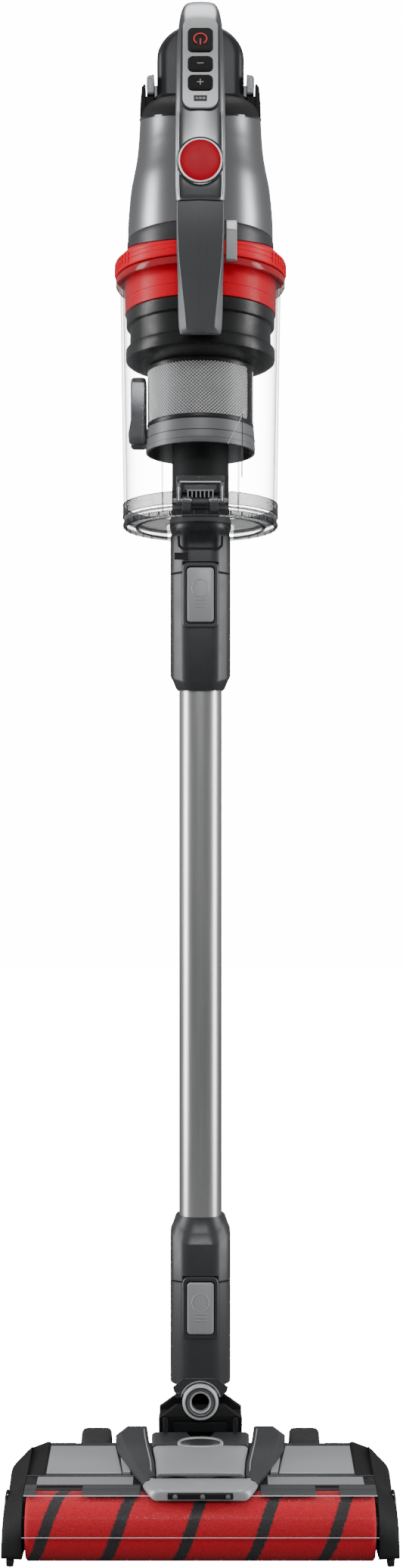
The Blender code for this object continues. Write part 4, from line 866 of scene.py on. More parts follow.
# ------------------------------------------------------------------ collars with release buttons
def collar_button(nm, z0, z1, body, replaces):
    pts = lambda hw, i: [(p[0], p[1]) for p in rsect(hw, -(z1 - z0) / 2 + i, (z1 - z0) / 2 - i, 0, 2.4, 8)]
    zc = (z0 + z1) / 2
    rings = [[(x, y, zc + u) for x, u in pts(hw, i)] for y, hw, i in ((-22.0, 9.8, 0.05), (-24.0, 9.8, 0.05), (-24.9, 9.4, 0.45), (-25.2, 8.6, 1.2))]
    loft(nm, rings, "button_grey", body, replaces, smooth=40)
    # a fine ring-shaped ridge where the thumb goes, with three grip lines
    for k in range(3):
        slab(f"{nm}_line_{k + 1}", -4.6, 4.6, -25.55, -25.0, zc - 9.4 + 2.6 * k, zc - 8.4 + 2.6 * k, "button_grey", body, bevel=0.28)
    rings = []
    for k in range(48):
        a = 2 * math.pi * k / 48
        cx, cz_ = 6.4 * math.cos(a), 6.4 * math.sin(a)
        rings.append([(cx * f, y, zc + 4.5 + cz_ * f) for f, y in ((0.95, -25.1), (1.0, -25.5), (1.05, -25.1))])
    loft(f"{nm}_thumb_ring", rings, "button_grey", body, loop=True)


def boss_frame(nm, z0, z1, y0, y1, body, mat="graphite"):
    """Raised frame round a button, open in the middle."""
    zc, h = (z0 + z1) / 2, (z1 - z0) / 2
    ring = lambda hw, hh, r, y: [(p[0], y, zc + p[1]) for p in rsect(hw, -hh, hh, 0, r, 8)]
    rings = [ring(13.2, h, 4.2, y1), ring(13.2, h, 4.2, y0 + 0.6), ring(12.6, h - 0.6, 3.8, y0), ring(11.0, h - 2.6, 2.9, y0), ring(10.4, h - 3.2, 2.5, y0 + 0.6), ring(10.4, h - 3.2, 2.5, y1)]
    return loft(nm, rings, mat, body, loop=True, smooth=38)


def ridge(nm, z, hw, hd, mat, body, h=0.5):
    """A fine moulded seam round a collar."""
    rings = [osect(hw, hd, z - h), osect(hw + 0.35, hd + 0.35, z), osect(hw, hd, z + h), osect(hw - 1.2, hd - 1.2, z + h), osect(hw - 1.2, hd - 1.2, z - h)]
    return loft(nm, rings, mat, body, loop=True, smooth=30)


CW, CD = 22.4, 22.0
# neck of the inlet, over the upper collar
rows = [osect(CW - 0.5, CD - 0.5, 714.2), osect(CW, CD, 714.9), osect(CW, CD, 741.4), osect(CW - 0.2, CD - 0.2, 743.0), osect(CW - 1.0, CD - 1.0, 744.6), circ(22.4, 748.6), circ(22.9, 749.6), circ(23.0, 750.6), circ(23.0, 756.4), circ(22.6, 757.0), circ(21.6, 758), circ(21.6, 760.4), circ(19.2, 760.4), circ(14.4, 744), circ(14.4, 670.2), circ(17.5, 670.2), circ(17.5, 714.2)]
nk = loft("inlet_neck_body", rows, "graphite", "cup", ["inlet_neck"], loop=True, smooth=32)
carve(nk, cutter([[(-13.5, y, 700), (13.5, y, 700), (13.5, y, 721.7), (-13.5, y, 721.7)] for y in (-30, -18)]))
slab("inlet_neck_tongue", -20.5, 20.5, 12, 50, 751.2, 754.8, "graphite", "cup", bevel=0.6)
# U-shaped recess under the flange and a slot below it on the left, drawn as thin near-black sheets on the surface:
# painted shade in place of their depth
rings = []
for y, i in ((-21.2, 0.0), (-22.12, 0.0)):
    rings.append([(x * (1 - 0.02 * i), y, z) for x, z in ((-17.0, 740.6), (-16.6, 733.0), (-13.6, 730.2), (13.6, 730.2), (16.6, 733.0), (17.0, 740.6), (15.2, 740.6), (14.9, 734.0), (12.9, 732.1), (-12.9, 732.1), (-14.9, 734.0), (-15.2, 740.6))])
loft("inlet_neck_recess_shade", rings, "black_gloss", "cup")
slab("inlet_neck_slot_shade", -19.4, -8.6, -22.25, -21.4, 723.0, 728.2, "black_gloss", "cup", bevel=0.35)
lathe("inlet_flange_line", [(22.4, 753.4), (23.15, 753.7), (23.15, 754.3), (22.4, 754.6)], "black_gloss", "cup", n=96)

# wand: head collar, tube, foot collar
rows = [osect(CW - 0.5, CD - 0.5, 713.8), osect(CW, CD, 713.1), osect(CW, CD, 641.6, slope=0.36), osect(CW - 0.5, CD - 0.5, 639.8, slope=0.36), osect(CW - 1.6, CD - 1.6, 637.6, slope=0.33), osect(18.4, 18.4, 630.6, slope=0.16), osect(17.2, 17.2, 629.2, slope=0.14), circ(16.4, 629.5), circ(16.4, 652.4), circ(14.4, 654), circ(14.4, 666), circ(17.9, 668.0), circ(17.9, 713.8)]
hd_ = loft("wand_head_body", rows, "graphite", "wand", ["wand_head"], loop=True, smooth=32)
carve(hd_, cutter([[(p[0], y, 696.9 + p[1]) for p in rsect(10.4, -20.9, 20.8, 0, 2.5, 6)] for y in (-30, -19.4)]))
boss_frame("wand_head_boss", 672.8, 721.0, -23.4, -18.9, "wand")
collar_button("wand_release_key", 676.6, 717.0, "wand_key", ["wand_release_button"])
rows = [osect(CW - 0.5, CD - 0.5, 188.8), osect(CW, CD, 189.5), osect(CW, CD, 225.0, slope=0.4), osect(CW - 0.5, CD - 0.5, 226.8, slope=0.42), osect(CW - 1.6, CD - 1.6, 229.2, slope=0.46), osect(18.6, 18.6, 235.8, slope=0.62), osect(17.6, 17.6, 237.0, slope=0.66),
        circ(16.4, 236.0), circ(16.4, 203.6), circ(14.4, 202), circ(14.4, 144.7), circ(17.5, 144.7), circ(17.5, 188.8)]
ft_ = loft("wand_foot_body", rows, "graphite", "wand", ["wand_foot"], loop=True, smooth=32)
carve(ft_, cutter([[(-13.5, y, 180), (13.5, y, 180), (13.5, y, 193.6), (-13.5, y, 193.6)] for y in (-30, -18)]), rod(16.4, 204, 260, "Z"))
lathe("wand_tube_body", [(15.7, 204.0), (16.0, 204.3), (16.0, 651.7), (15.7, 652.0), (14.5, 652.0), (14.5, 204.0)], "wand_metal", "wand", ["wand_tube"], n=128)


# ------------------------------------------------------------------ lower neck, swivel ring and yoke
SW = 101.0
rows = [osect(CW - 0.5, CD - 0.5, 188.2), osect(CW, CD, 187.5), osect(CW, CD, 114.0), osect(CW - 0.3, CD - 0.3, 112.8), osect(CW - 1.2, CD - 1.2, 112.0), osect(CW - 5.4, CD - 4.4, 112.0), osect(CW - 5.4, CD - 4.4, 116.0), circ(13, 116.0), circ(13, 138), circ(17.9, 140), circ(17.9, 188.2)]
nb = loft("neck_body", rows, "graphite", "neck", ["nozzle_neck"], loop=True, smooth=32)
carve(nb, cutter([[(p[0], y, 170.1 + p[1]) for p in rsect(10.4, -19.8, 19.8, 0, 2.5, 6)] for y in (-30, -19.4)]))
boss_frame("neck_boss", 147.5, 193.0, -23.4, -18.9, "neck")
collar_button("neck_release_key", 151.0, 189.2, "neck_key", ["neck_release_button"])
kn = lathe("neck_knuckle", [(6.9, -14), (12.6, -14), (13, -13.5), (13, 13.5), (12.6, 14), (6.9, 14)], "graphite", "neck", axis="Y", at=(0, 0, SW))
loft("neck_web", [[(-13, -14, SW + 8), (13, -14, SW + 8), (13, 14, SW + 8), (-13, 14, SW + 8)], [(-16, -14, 116.2), (16, -14, 116.2), (16, 14, 116.2), (-16, 14, 116.2)]], "graphite", "neck")
# the collar's front and back come down round the swivel ring
for y0, y1, nm in ((-22.3, -21.3, "front"), (21.3, 22.3, "back")):
    arch = [(14.2 * math.cos(math.radians(a)), SW + 14.2 * math.sin(math.radians(a))) for a in range(14, 167, 6)]
    outline = [(-15.1, SW + 3.2), (-19.6, 108.4), (-20.4, 111.6), (-12.6, 118.4), (12.6, 118.4), (20.4, 111.6), (19.6, 108.4), (15.1, SW + 3.2)] + arch
    half = [[(x, y, z) for x, z in outline] for y in (y0, y1)]
    loft(f"neck_apron_{nm}", half, "graphite", "neck", bevel=0.35)
# a fine raised rim along the arch, coloured light grey: a painted highlight where the arch's edge catches the light
rings = []
for k in range(25):
    a = math.radians(14 + 152 * k / 24)
    rings.append([(r_ * math.cos(a), y, SW + r_ * math.sin(a)) for r_, y in ((14.4, -22.0), (14.5, -22.8), (15.2, -22.8), (15.5, -22.0))])
loft("neck_arch_highlight", rings, "button_grey", "neck", bevel=0.15)
slab("neck_lock_nub", -18.6, -14.4, -23.2, -21.6, 103.9, 107.7, "black_gloss", "neck", bevel=0.5)

lathe("ring_front", [(6.5, -24.0), (6.7, -25.2), (7.6, -26.3), (8.8, -22.4), (9.4, -25.9), (10.4, -25.8), (11.2, -26.1), (12.0, -25.9), (12.7, -25.1), (13.3, -24.2), (13.4, -21.5), (6.8, -21.5), (6.8, -15.4), (6.5, -15.4)], "bezel_silver", "yoke", ["swivel_ring"], n=96, axis="Y", at=(0, 0, SW))
# pivot pin in the ring's bore, coloured near-black as painted shade for the hole seen through the ring
lathe("ring_core", [(0.0, -15.2), (6.6, -15.2), (6.6, 21.4), (0.0, 21.4)], "void_shade_black", "yoke", n=64, axis="Y", at=(0, 0, SW))
lathe("ring_groove", [(9.3, -25.6), (9.7, -26.05), (11.0, -26.2), (11.5, -25.8), (11.0, -24.5), (9.5, -24.5)], "graphite", "yoke", n=96, axis="Y", at=(0, 0, SW))
lathe("ring_back", [(0.0, 23.2), (4.5, 23.4), (10.6, 23.4), (11.0, 23.0), (11.0, 21.4), (0.0, 21.4)], "button_grey", "yoke", n=64, axis="Y", at=(0, 0, SW))
yp = [(8 + 14 * math.cos(math.radians(a)), 49.5 + 14 * math.sin(math.radians(a))) for a in range(170, 371, 8)] + [(22.5, 82), (20.2, 95), (18.6, 98), (-18.6, 98), (-20.4, 95.5), (-21, 90), (-16, 82), (-8.5, 72)]
yk = prism("yoke_body", yp, -31, 31, "cap_black", "yoke", ["tilt_yoke"], bevel=0.7, smooth=32)
cuts = [cutter([[(-x, y, z) if False else (x, y, z) for y, z in ((-14.6, 85.6), (14.6, 85.6), (14.6, 130), (-14.6, 130))] for x in (-40, 40)])]
for s in (-1, 1):
    cuts.append(cutter([[(s * 34, y, 86.5), (s * 34, y, 106), (s * 17.6, y, 106), (s * 17.6, y, 98.2), (s * 28.7, y, 89.8)] for y in (-30, 40)]))
carve(yk, *cuts)
for s in (-1, 1):
    lathe(f"yoke_lug_{'back' if s > 0 else 'front'}", [(6.9, s * 15.3), (12.2, s * 15.3), (12.6, s * 15.8), (12.6, s * 20.6), (12.2, s * 21.0), (6.9, s * 21.0)], "black_silk", "yoke", n=64, axis="Y", at=(0, 0, SW))
    lathe(f"yoke_trunnion_{'right' if s > 0 else 'left'}", [(0.0, s * 30), (5, s * 30), (5, s * 40.8), (4.4, s * 41.4), (0.0, s * 41.4)], "black_silk", "yoke", n=48, axis="X", at=(0, 8, 49.5))
    slab(f"yoke_side_rib_{'right' if s > 0 else 'left'}", *sorted((s * 24.0, s * 27.6)), -21.6, -18.0, 78.0, 89.0, "black_matte", "yoke", bevel=0.8)
# moulded panel on the yoke's front
loft("yoke_front_panel", [[(x * k_, y, z) for x, z in ((-19, 76.5), (19, 76.5), (20.6, 82.6), (20.6, 85.2), (-20.6, 85.2), (-20.6, 82.6))] for y, k_ in ((-13.0, 1.0), (-19.9, 1.0))], "cap_black", "yoke", bevel=0.8,
     warp=lambda x, y, z: (x, y + (85.2 - z) * 0.55, z))

# ------------------------------------------------------------------ floor nozzle
FY, FZ = -73.0, 24.6
HA = 94.1
HT = (FY + 27.3 * math.cos(math.radians(HA)), FZ + 27.3 * math.sin(math.radians(HA)))


def deck(y):
    if y < HT[0]:
        return FZ + math.sqrt(max(0.0, 27.3 ** 2 - (y - FY) ** 2))
    return lerp([HT, (-50.0, 53.6), (10.0, 62.4), (26.5, 50.0), (60, 40)], y)


bs_ = prism("base_tray", [(-7.5, 5), (26, 5), (26, 47.2), (23.8, 47.2), (23.8, 7.5), (-5.3, 7.5), (-5.3, 42), (-7.5, 42)], -125.5, 125.5, "graphite", "nozzle", ["nozzle_base"], bevel=0.5)
cuts = [cutter([[(-34.6, 18, z), (34.6, 18, z), (34.6, 40, z), (-34.6, 40, z)] for z in (34.5, 90)])]
for s in (-1, 1):
    a, b_ = sorted((s * 66.8, s * 94.0))
    cuts.append(cutter([[(a, 9.5, z), (b_, 9.5, z), (b_, 90, z), (a, 90, z)] for z in (-5, 90)]))
carve(bs_, *cuts)
for s in (-1, 1):
    side = "right" if s > 0 else "left"
    ear = prism(f"base_ear_{side}", [(-6.5, 36), (25.6, 36), (25.6, 44.2), (20, 48.6), (14, 53.6), (9, 57.6), (-6.5, 55.4)], *sorted((s * 34.8, s * 43.8)), "graphite", "nozzle", bevel=0.6)
    carve(ear, rod(5.4, *sorted((s * 30, s * 41.8)), "X", (0, 8, 49.5)))
    slab(f"base_wheel_arm_{side}", *sorted((s * 56, s * 66.2)), 24.5, 57, 18, 44, "graphite", "nozzle", bevel=2.2, segs=5)
    lathe(f"base_axle_{side}", [(0.0, s * 60), (4, s * 60), (4, s * 91.0), (3.4, s * 91.6), (0.0, s * 91.6)], "steel", "nozzle", n=48, axis="X", at=(0, 45, 32))
    # rear wheel: rubber tyre, hub with spokes
    bd = f"rear_wheel_{side[0]}"
    lathe(f"tyre_{side}", [(26, s * 69.0), (29.8, s * 69.0), (31.2, s * 70.0), (31.9, s * 72.0), (32, s * 74.0), (32, s * 86.2), (31.9, s * 88.0), (31.2, s * 90.0), (29.8, s * 91.2), (26, s * 91.2)],
          "rubber", bd, [f"rear_wheel_{side}"], n=96, axis="X", at=(0, 45, 32))
    lathe(f"hub_{side}", [(4.5, s * 68.5), (9, s * 68.4), (10, s * 70), (24, s * 71), (26.2, s * 69.6), (26.2, s * 90.6), (24, s * 89.0), (10, s * 90), (9, s * 91.8), (4.5, s * 91.8)], "black_matte", bd, n=72, axis="X", at=(0, 45, 32))
    for k in range(6):
        a = math.radians(60 * k + 30)
        d1, d2 = (math.cos(a), math.sin(a)), (-math.sin(a), math.cos(a))
        loft(f"hub_{side}_spoke_{k + 1}", [[(s * h, 45 + d1[0] * o + d2[0] * w, 32 + d1[1] * o + d2[1] * w) for w, h in ((-1.6, 69.4), (1.6, 69.4), (1.6, 90.9), (-1.6, 90.9))] for o in (8.6, 25.6)], "graphite", bd, bevel=0.4)

cv = prism("cover_body", [(-49.5, 53.6), (10, 62.4), (26.4, 49.4), (26.4, 47.7), (24.2, 47.7), (9.2, 60.0), (-49.1, 51.4)], -114.6, 114.6, "graphite", "nozzle", ["nozzle_top_cover"], bevel=0.45)
cuts = [cutter([[(-34.6, -10.5, z), (34.6, -10.5, z), (34.6, 60, z), (-34.6, 60, z)] for z in (20, 90)])]
for s in (-1, 1):
    a, b_ = sorted((s * 66.8, s * 94.0))
    cuts.append(cutter([[(a, 9.5, z), (b_, 9.5, z), (b_, 90, z), (a, 90, z)] for z in (20, 90)]))
carve(cv, *cuts)


def deck_panel(name, outline, h0, h1, mat, bevel=0.4):
    """A thin panel that lies on the cover: outline is (x, y)."""
    rings = [[(x, y, deck(y) + h) for x, y in outline] for h in (h0, h1)]
    return loft(name, rings, mat, "nozzle", bevel=bevel)


for s in (-1, 1):
    side = "right" if s > 0 else "left"
    flip = lambda pts: [(s * x, y) for x, y in pts]
    deck_panel(f"cover_panel_{side}", flip([(63.5, 2.0), (112.0, 2.0), (112.0, -46.5), (57.2, -46.5), (60.0, -24)]), -0.4, 1.1, "satin_light", 0.6)
    deck_panel(f"cover_panel_{side}_groove", flip([(68.5, 3.6), (110.5, 3.6), (110.5, 2.9), (68.5, 2.9)]), 0.9, 1.25, "graphite", 0.1)
    deck_panel(f"cover_gusset_{side}", flip([(56.0, -14), (59.4, -14), (58.4, -26), (56.2, -46.6), (50.8, -46.6)]), -0.4, 1.9, "satin_light", 0.4)
    # frame arm beside the centre plate
    table = [(9.9, 64, 40.2, 12.6), (-8, 62, 38.6, 11.4), (-22, 58.5, 36.9, 9.8), (-45, 50.5, 33.4, 7.4), (-62, 44.6, 32.8, 5.8), (-66, 43.2, 35.6, 5.5), (-73, 41.2, 35.8, 5.0), (-76, 40.4, 36, 4.6)][::-1]
    rows = []
    for y in (-73.4, -73, -72, -70, -66, -62, -57, -52, -48, -45, -40, -34, -28, -22, -15, -8, -2, 4, 8.6, 9.9):
        xo, xi, h = (lerp([(t_[0], t_[i]) for t_ in table], y) for i in (1, 2, 3))
        e = 0.8 if y in (-73.4, 9.9) else 0.0
        zb = deck(y) + 0.6
        top = zb + h - e
        m1 = xo - lerp([(-76, 3.5), (0, 3.5), (4, 8.0), (10, 9.0)], y)
        rows.append([(s * (xo - e), y, zb), (s * (xi + e), y, zb), (s * (xi + e), y, top - 0.8), (s * (xi + e + 0.8), y, top), (s * (m1 - e), y, top), (s * (xo - e), y, zb + h * 0.45)])
    loft(f"arm_{side}", rows, "arm_grey", "nozzle", [f"frame_arm_{side}"], bevel=0.5, smooth=30)
    rows = []
    for y in (-60, -56, -48, -40, -30, -20, -10, -2, 3, 5):
        xi, h = (lerp([(t_[0], t_[i]) for t_ in table], y) for i in (2, 3))
        top = deck(y) + 0.6 + h
        w = 0.3 if y in (-60, 5) else 1.1
        rows.append([(s * (xi + 2.2), y, top - 0.3), (s * (xi + 2.2 + w), y, top - 0.3), (s * (xi + 2.0 + w), y, top + 0.35), (s * (xi + 2.4), y, top + 0.35)])
    loft(f"arm_{side}_line", rows, "button_grey", "nozzle", smooth=30)

# centre plate in four parts: dark crossbar with a scoop, silver plate, dark strip, light lip
PT = [(-15, 36.2, 76.4), (-23.6, 35.4, 69.0), (-40, 33.2, 64.0), (-58, 32.2, 59.8), (-62, 32.2, 58.8), (-66, 35.0, 57.8), (-74, 35.0, 56.6), (-78, 35.0, 56.0), (-82, 34.6, 55.2), (-86, 34.2, 54.3), (-88.5, 33.6, 53.6), (-90.5, 32.6, 52.4)][::-1]


def plate_part(name, ys, mat, dz=0.0, inset=0.0, replaces=(), crown=0.0, bevel=0.35, drop=None):
    rows = []
    for y in ys:
        hw = lerp([(a, b) for a, b, c in PT], y) - inset
        top = lerp([(a, c) for a, b, c in PT], y) + dz
        zb = deck(y) + 0.5 if drop is None else drop
        pts = [(-hw, y, zb), (hw, y, zb), (hw, y, top - 1.8), (hw - 1.4, y, top - 0.5)]
        for k in range(13):
            x = (hw - 3) * (1 - 2 * k / 12)
            pts.append((x, y, top + crown * (1 - (x / hw) ** 2)))
        pts += [(-hw + 1.4, y, top - 0.5), (-hw, y, top - 1.8)]
        rows.append(pts)
    return loft(name, rows, mat, "nozzle", replaces, bevel=bevel, smooth=32)


cb = plate_part("plate_crossbar", (-23.4, -22.8, -20, -18, -16, -15.2, -14.9), "arm_grey", 0.4, 0.0, ["centre_plate"])
carve(cb, rod(13.0, -40, 0, "Y", (0, 0, 84.6), 64))
plate_part("plate_silver", (-61.6, -61, -56, -50, -44, -38, -32, -27, -24.4, -23.9), "plate_silver", 0.0, 0.3, crown=0.5)
plate_part("plate_strip", (-73.6, -72.8, -68, -64, -62.4, -62.0), "black_gloss", -1.0, 1.4)
rows = []
for y, hw in ((-89.2, 31.8), (-88.8, 32.8), (-87.8, 34.2), (-86, 35.8), (-83.6, 37.4), (-81, 38.8), (-78, 40.0), (-75, 40.8), (-71, 41.2), (-69.4, 41.2), (-68.8, 40.8)):
    top = lerp([(a, c) for a, b, c in PT], y) + 0.2
    zb = deck(y) + 0.5
    e = 0.6 if y in (-89.2, -68.8) else 0.0
    rows.append([(-hw, y, zb), (hw, y, zb), (hw, y, top - 3.4 - e), (hw - 1.6, y, top - 1.2 - e)] + [((hw - 4.4) * (1 - 2 * k / 12), y, top - e + 0.3 * (1 - (1 - 2 * k / 12) ** 2)) for k in range(13)] + [(-hw + 1.6, y, top - 1.2 - e), (-hw, y, top - 3.4 - e)])
lip = loft("plate_lip", rows, "plate_silver", "nozzle", bevel=0.3, smooth=32)
carve(lip, cutter([[(p[0], -71.0 + p[1] * 0.5, z) for p in rsect(33.6, -6.5, 6.5, 0, 2.0, 6)] for z in (57.1, 90)]))
# raised rim round the scoop, in light silver: painted highlight on the scoop's edge
rings = []
for k in range(64):
    a = 2 * math.pi * k / 64
    cx, cy_ = 16.0 * math.copysign(abs(math.cos(a)) ** 0.8, math.cos(a)), 3.6 * math.sin(a)
    t_ = lambda yy: lerp([(q[0], q[2]) for q in PT], yy) + 0.45
    rings.append([(cx * f, -22.4 + cy_ * f2, t_(-22.4 + cy_ * f2) + h) for f, f2, h in ((0.90, 0.74, -0.2), (0.93, 0.8, 0.55), (1.0, 1.0, 0.75), (1.05, 1.14, 0.4), (1.06, 1.18, -0.2))])
loft("plate_scoop_rim_highlight", rings, "satin_light", "nozzle", loop=True, smooth=50)
loft("plate_scoop_floor", [[(14.6 * math.cos(2 * math.pi * k / 48), -22.4 + 2.7 * math.sin(2 * math.pi * k / 48), lerp([(q[0], q[2]) for q in PT], -22.4 + 2.7 * math.sin(2 * math.pi * k / 48)) + h) for k in range(48)] for h in (0.2, 0.75)], "graphite_gloss", "nozzle", smooth=40)
# oval thumb scoop set in the crossbar and a darker mark on the lip
loft("plate_mark", [[(x, y, lerp([(a, c) for a, b, c in PT], y) + h) for x, y in ((-4.2, -76.4), (4.2, -76.4), (3.6, -84.6), (-3.6, -84.6))] for h in (0.2, 0.62)], "button_grey", "nozzle", bevel=0.15)
# lamps under the lip
slab("lamp_recess", -23.2, 23.2, -91.6, -88.4, 48.4, 52.6, "cap_black", "nozzle", ["headlight_bar"], bevel=0.8)
for k, x in enumerate((-17.8, 1.6, 19.6)):
    lathe(f"lamp_{k + 1}", [(0.0, -92.7), (0.9, -92.6), (1.5, -92.2), (1.7, -91.6), (1.7, -91.0), (0.0, -91.0)], "lamp", "nozzle", n=32, axis="Y", at=(x, 0, 50.4))
    lathe(f"lamp_{k + 1}_ring", [(1.7, -91.9), (2.0, -91.9), (2.1, -91.5), (1.7, -91.4)], "graphite", "nozzle", n=32, axis="Y", at=(x, 0, 50.4))

# clear hood
oz = [(FY + 27.3 * math.cos(math.radians(183 - k * (183 - HA) / 36)), FZ + 27.3 * math.sin(math.radians(183 - k * (183 - HA) / 36))) for k in range(37)] + [(-62, 53.6 - 12 * (53.6 - HT[1]) / (-50 - HT[0]) * 0.62), (-50.0, 53.6)]
iz = [(FY + 25.5 * math.cos(math.radians(183 - k * (183 - HA) / 36)), FZ + 25.5 * math.sin(math.radians(183 - k * (183 - HA) / 36))) for k in range(37)] + [(-50.0, 51.6)]
prism("hood_clear", oz + iz[::-1], -125.5, 125.5, "clear_hood", "nozzle", ["roll_window"], smooth=40)
# the white strips across the hood and along its lower edge are painted highlights where the clear plastic catches the
# light
for nm, a0, a1, o, mat in (("hood_line", 115.0, 116.0, 0.2, "white_line"), ("hood_brow", 96.5, 99.5, 0.35, "graphite_gloss"), ("hood_edge", 180.4, 181.2, 0.2, "white_line")):
    n_ = 6
    arc = [(FY + (27.2 + o) * math.cos(math.radians(a0 + (a1 - a0) * k / n_)), FZ + (27.2 + o) * math.sin(math.radians(a0 + (a1 - a0) * k / n_))) for k in range(n_ + 1)]
    arc2 = [(FY + 26.9 * math.cos(math.radians(a0 + (a1 - a0) * k / n_)), FZ + 26.9 * math.sin(math.radians(a0 + (a1 - a0) * k / n_))) for k in range(n_ + 1)]
    for s in (-1, 1) if nm == "hood_brow" else (0,):
        x0, x1 = (-125.4, 125.4) if s == 0 else sorted((s * 43.5, s * 125.4))
        prism(nm if s == 0 else f"{nm}_{'right' if s > 0 else 'left'}", arc + arc2[::-1], x0, x1, mat, "nozzle")
for s in (-1, 1):
    for q, (xa, xb) in enumerate(((43.0, 82.0), (99.0, 125.3)) if s > 0 else ((43.0, 84.0), (117.0, 125.3))):
        arcs = [[(-68.6, 52.35 + r_ - 27.2)] + [(FY + r_ * math.cos(math.radians(94.6 + 20.2 * k / 8)), FZ + r_ * math.sin(math.radians(94.6 + 20.2 * k / 8))) for k in range(9)] for r_ in (27.5, 27.1)]
        prism(f"hood_shade_{'right' if s > 0 else 'left'}_{q + 1}", arcs[0] + arcs[1][::-1], *sorted((s * xa, s * xb)), "clear_band", "nozzle")
    rows = [[(s * (xa + e), y, h) for y, h in ((-68.0 + e, 52.1), (-52.4 - e, 53.3), (-52.4 - e, 54.0), (-68.0 + e, 52.7))] for xa, e in ((48.5, 0.5), (49.0, 0.0), (116.5, 0.0), (117.0, 0.5))]
    loft(f"hood_panel_{'right' if s > 0 else 'left'}", [[(x if abs(x) > 60 else x - s * 0.5, y, z) for x, y, z in r_] for r_ in rows], "clear_light", "nozzle", smooth=40)
slab("hood_rear_seam", -125.4, 125.4, -50.6, -49.2, 53.0, 54.3, "graphite_gloss", "nozzle", bevel=0.3)

# rolls
rows = []
for x in [-123.8, -123.2, -122.4] + [-120 + 5 * k for k in range(49)] + [122.4, 123.2, 123.8]:
    r = {123.8: 22.6, 123.2: 23.5}.get(abs(x), 24.0)
    rows.append([(x, FY + r * math.cos(2 * math.pi * i / 144), FZ + r * math.sin(2 * math.pi * i / 144)) for i in range(144)])
rin = [[(x, FY + 17.3 * math.cos(2 * math.pi * i / 144), FZ + 17.3 * math.sin(2 * math.pi * i / 144)) for i in range(144)] for x in (123.8, -123.8)]
loft("roll_pile_sleeve", rows + rin, "pile", "front_roll", ["front_roll_sleeve"], loop=True, smooth=60)
lathe("roll_core_body", [(0.0, -136), (2.8, -136), (3.1, -135.6), (3.1, -124.5), (16.6, -124.3), (17.0, -123.9), (17.0, 123.9), (16.6, 124.3), (6, 124.5), (6, 126.8), (12, 127), (12.2, 129.8), (12, 132.6), (3.1, 132.8), (3.1, 135.6), (2.8, 136), (0.0, 136)], "graphite", "front_roll", ["front_roll_core"], n=64, axis="X", at=(0, FY, FZ))
RY, RZ = -28.0, 21.5
lathe("brush_core", [(0.0, -136), (3.1, -136), (3.1, -124.6), (11.6, -124.4), (12.0, -124.0), (12.0, 124.0), (11.6, 124.4), (5.5, 124.6), (5.5, 126.8), (9.4, 127), (9.4, 132.6), (3.1, 132.8), (3.1, 136), (0.0, 136)], "graphite", "rear_roll", ["rear_brush_roll"], n=64, axis="X", at=(0, RY, RZ))
for h in (0, 1):
    rows = []
    for k in range(61):
        x = -123.6 + 247.2 * k / 60
        tw = x / 248.4 * math.pi * 1.5 + math.pi * h
        row = []
        for j, (r_, da) in enumerate(((11.6, -0.16), (19.2, -0.07), (19.5, 0.0), (19.2, 0.07), (11.6, 0.16))):
            row.append((x, RY + r_ * math.cos(tw + da), RZ + r_ * math.sin(tw + da)))
        rows.append(row)
    loft(f"brush_row_{h + 1}", rows, "bristle", "rear_roll", smooth=50)

# end caps with a moulded ring and a seam, front wheels, motor and belt
CAPO = [(-96.5, 8), (-97.5, 24), (-95, 36), (-88, 46), (-76, 53.0), (-50, 55.6), (6, 64.6), (26, 51), (28, 10), (22, 5.5), (-92, 5.8)]


def cap_ring(x, inset, n=6):
    """The cap's outline with its corners rounded."""
    cy, cz = -35, 26
    base = []
    for y, z in CAPO:
        d = Vector((y - cy, z - cz))
        f = lerp([(0.0, 0.06), (12.0, 0.12), (30.0, 0.7), (44.0, 1.15), (66.0, 1.3)], z)
        k = 1 - f * inset / d.length
        base.append(Vector((cy + d.x * k, cz + d.y * k)))
    pts = []
    m = len(base)
    for i in range(m):
        p, q, r_ = base[i - 1], base[i], base[(i + 1) % m]
        lim = min((p - q).length, (r_ - q).length) * 0.45
        cut = min(lim, 7.0)
        u, w = (p - q).normalized() * cut, (r_ - q).normalized() * cut
        for k in range(n):
            t_ = k / (n - 1)
            e = (q + u) * (1 - t_) ** 2 + q * 2 * t_ * (1 - t_) + (q + w) * t_ ** 2
            pts.append((x, e.x, e.y))
    return pts


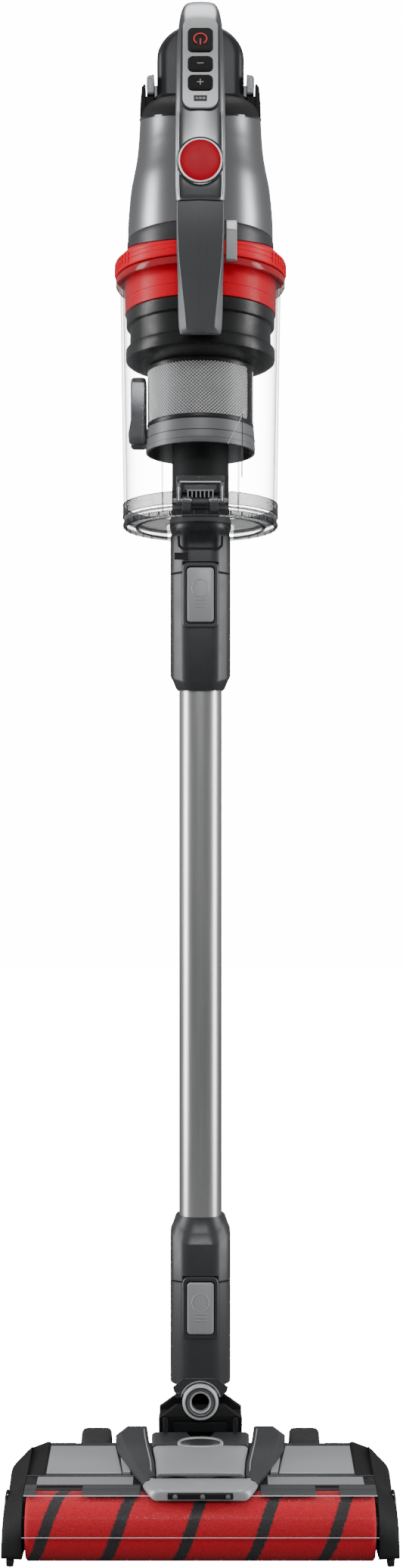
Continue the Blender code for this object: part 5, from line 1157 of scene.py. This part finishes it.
for s in (-1, 1):
    side = "right" if s > 0 else "left"
    rows = [cap_ring(s * x, i) for x, i in ((125.9, 2.6), (126.3, 2.4), (129.5, 5.0), (132.5, 8.2), (135.4, 11.0), (137.6, 13.2), (138.8, 14.6), (139.8, 16.4), (140.5, 18.6))]
    prism_rows = []
    for y in (-50.0, -49.0, -40, -30, -20, -10, 0, 8.6, 10.2, 14, 20, 25.2, 26.2):
        e = 0.5 if y in (-50.0, 26.2) else 0.0
        t_ = deck(y) + 1.0
        prism_rows.append([(s * (112.4 + e), y, t_ - 0.9 - e), (s * (113.6 + e), y, t_ - e), (s * (115.0 + e), y, t_ - e * 0.5), (s * 126.2, y, t_ - 4.2 - e), (s * 126.2, y, t_ - 9.0), (s * (114.8 + e), y, t_ - 4.6)])
    loft(f"cap_{side}_shoulder", prism_rows, "cap_black", "nozzle", bevel=0.4, smooth=30)
    cp = loft(f"cap_{side}", rows, "cap_black", "nozzle", [f"{side}_end_cap"], smooth=40)
    cuts = [rod(3.4, *sorted((s * 120, s * 136.4)), "X", (0, y, z)) for y, z in ((-73, 24.6), (-28, 21.5))]
    a, b_ = sorted((s * 131, s * 138.2))
    cuts.append(cutter([[(a, -93.2, z), (b_, -93.2, z), (b_, -80.8, z), (a, -80.8, z)] for z in (-3, 12.5)]))
    if s > 0:
        cuts.append(rod(3.4, 120, 136.4, "X", (0, 6, 22)))
        cuts.append(cutter([[(x, y, z) for y, z in [(-88.5, 24.6), (-84, 35.5), (-73, 40.6), (-30, 35.4), (6, 31.6), (13.4, 29), (16.4, 22), (13.4, 15.4), (6, 12.8), (-30, 7.8), (-73, 8.4), (-84, 13.2)]] for x in (124, 134.2)]))
    carve(cp, *cuts)
    lathe(f"cap_{side}_ring", [(15.5, s * 139.2), (16.6, s * 140.4), (17.8, s * 140.4), (18.6, s * 139.2)], "graphite_gloss", "nozzle", n=72, axis="X", at=(0, -56, 27))
    lathe(f"cap_{side}_hub", [(0.0, s * 140.9), (9.6, s * 140.9), (11.0, s * 140.3), (11.0, s * 139.4), (0.0, s * 139.4)], "graphite", "nozzle", n=72, axis="X", at=(0, -56, 27))
    slab(f"cap_{side}_slot", *sorted((s * 139.6, s * 141.2)), -64.6, -47.4, 26.2, 27.8, "black_gloss", "nozzle", bevel=0.3)
    lathe(f"front_wheel_{side}_body", [(0.0, s * 131.9), (3.2, s * 131.9), (4.6, s * 132.1), (5.0, s * 132.7), (5.0, s * 136.5), (4.6, s * 137.1), (3.2, s * 137.3), (0.0, s * 137.3)], "rubber", f"front_wheel_{side[0]}", [f"front_wheel_{side}"], n=48, axis="X", at=(0, -87, 5))
paint("nozzle_motor", "steel")
paint("motor_shaft", "steel")
paint("drive_belt", "rubber")

# underside of the nozzle: cross ribs, rear felt strip and screws
for k in range(9):
    x = -108 + 27 * k
    slab(f"base_rib_{k + 1}", x - 1.2, x + 1.2, -5.0, 23.6, 7.0, 12.0, "graphite", "nozzle", bevel=0.4)
slab("base_felt", -120, 120, -5.6, -1.2, 3.4, 5.4, "red_band", "nozzle", bevel=0.6)
for k, x in enumerate((-112, -50, 50, 112)):
    lathe(f"base_screw_{k + 1}", [(0.0, 4.3), (2.6, 4.3), (3.2, 4.7), (3.2, 5.3), (0.0, 5.3)], "steel", "nozzle", n=32, at=(x, 13, 0))

# ------------------------------------------------------------------ what is left: every CAD node that still shows gets a material
for name, ob in NODES.items():
    if not ob.hide_render and not any(m and m in M.values() for m in ob.data.materials):
        paint(name, "graphite")

# ------------------------------------------------------------------ last update of the scene
bpy.context.view_layer.update()
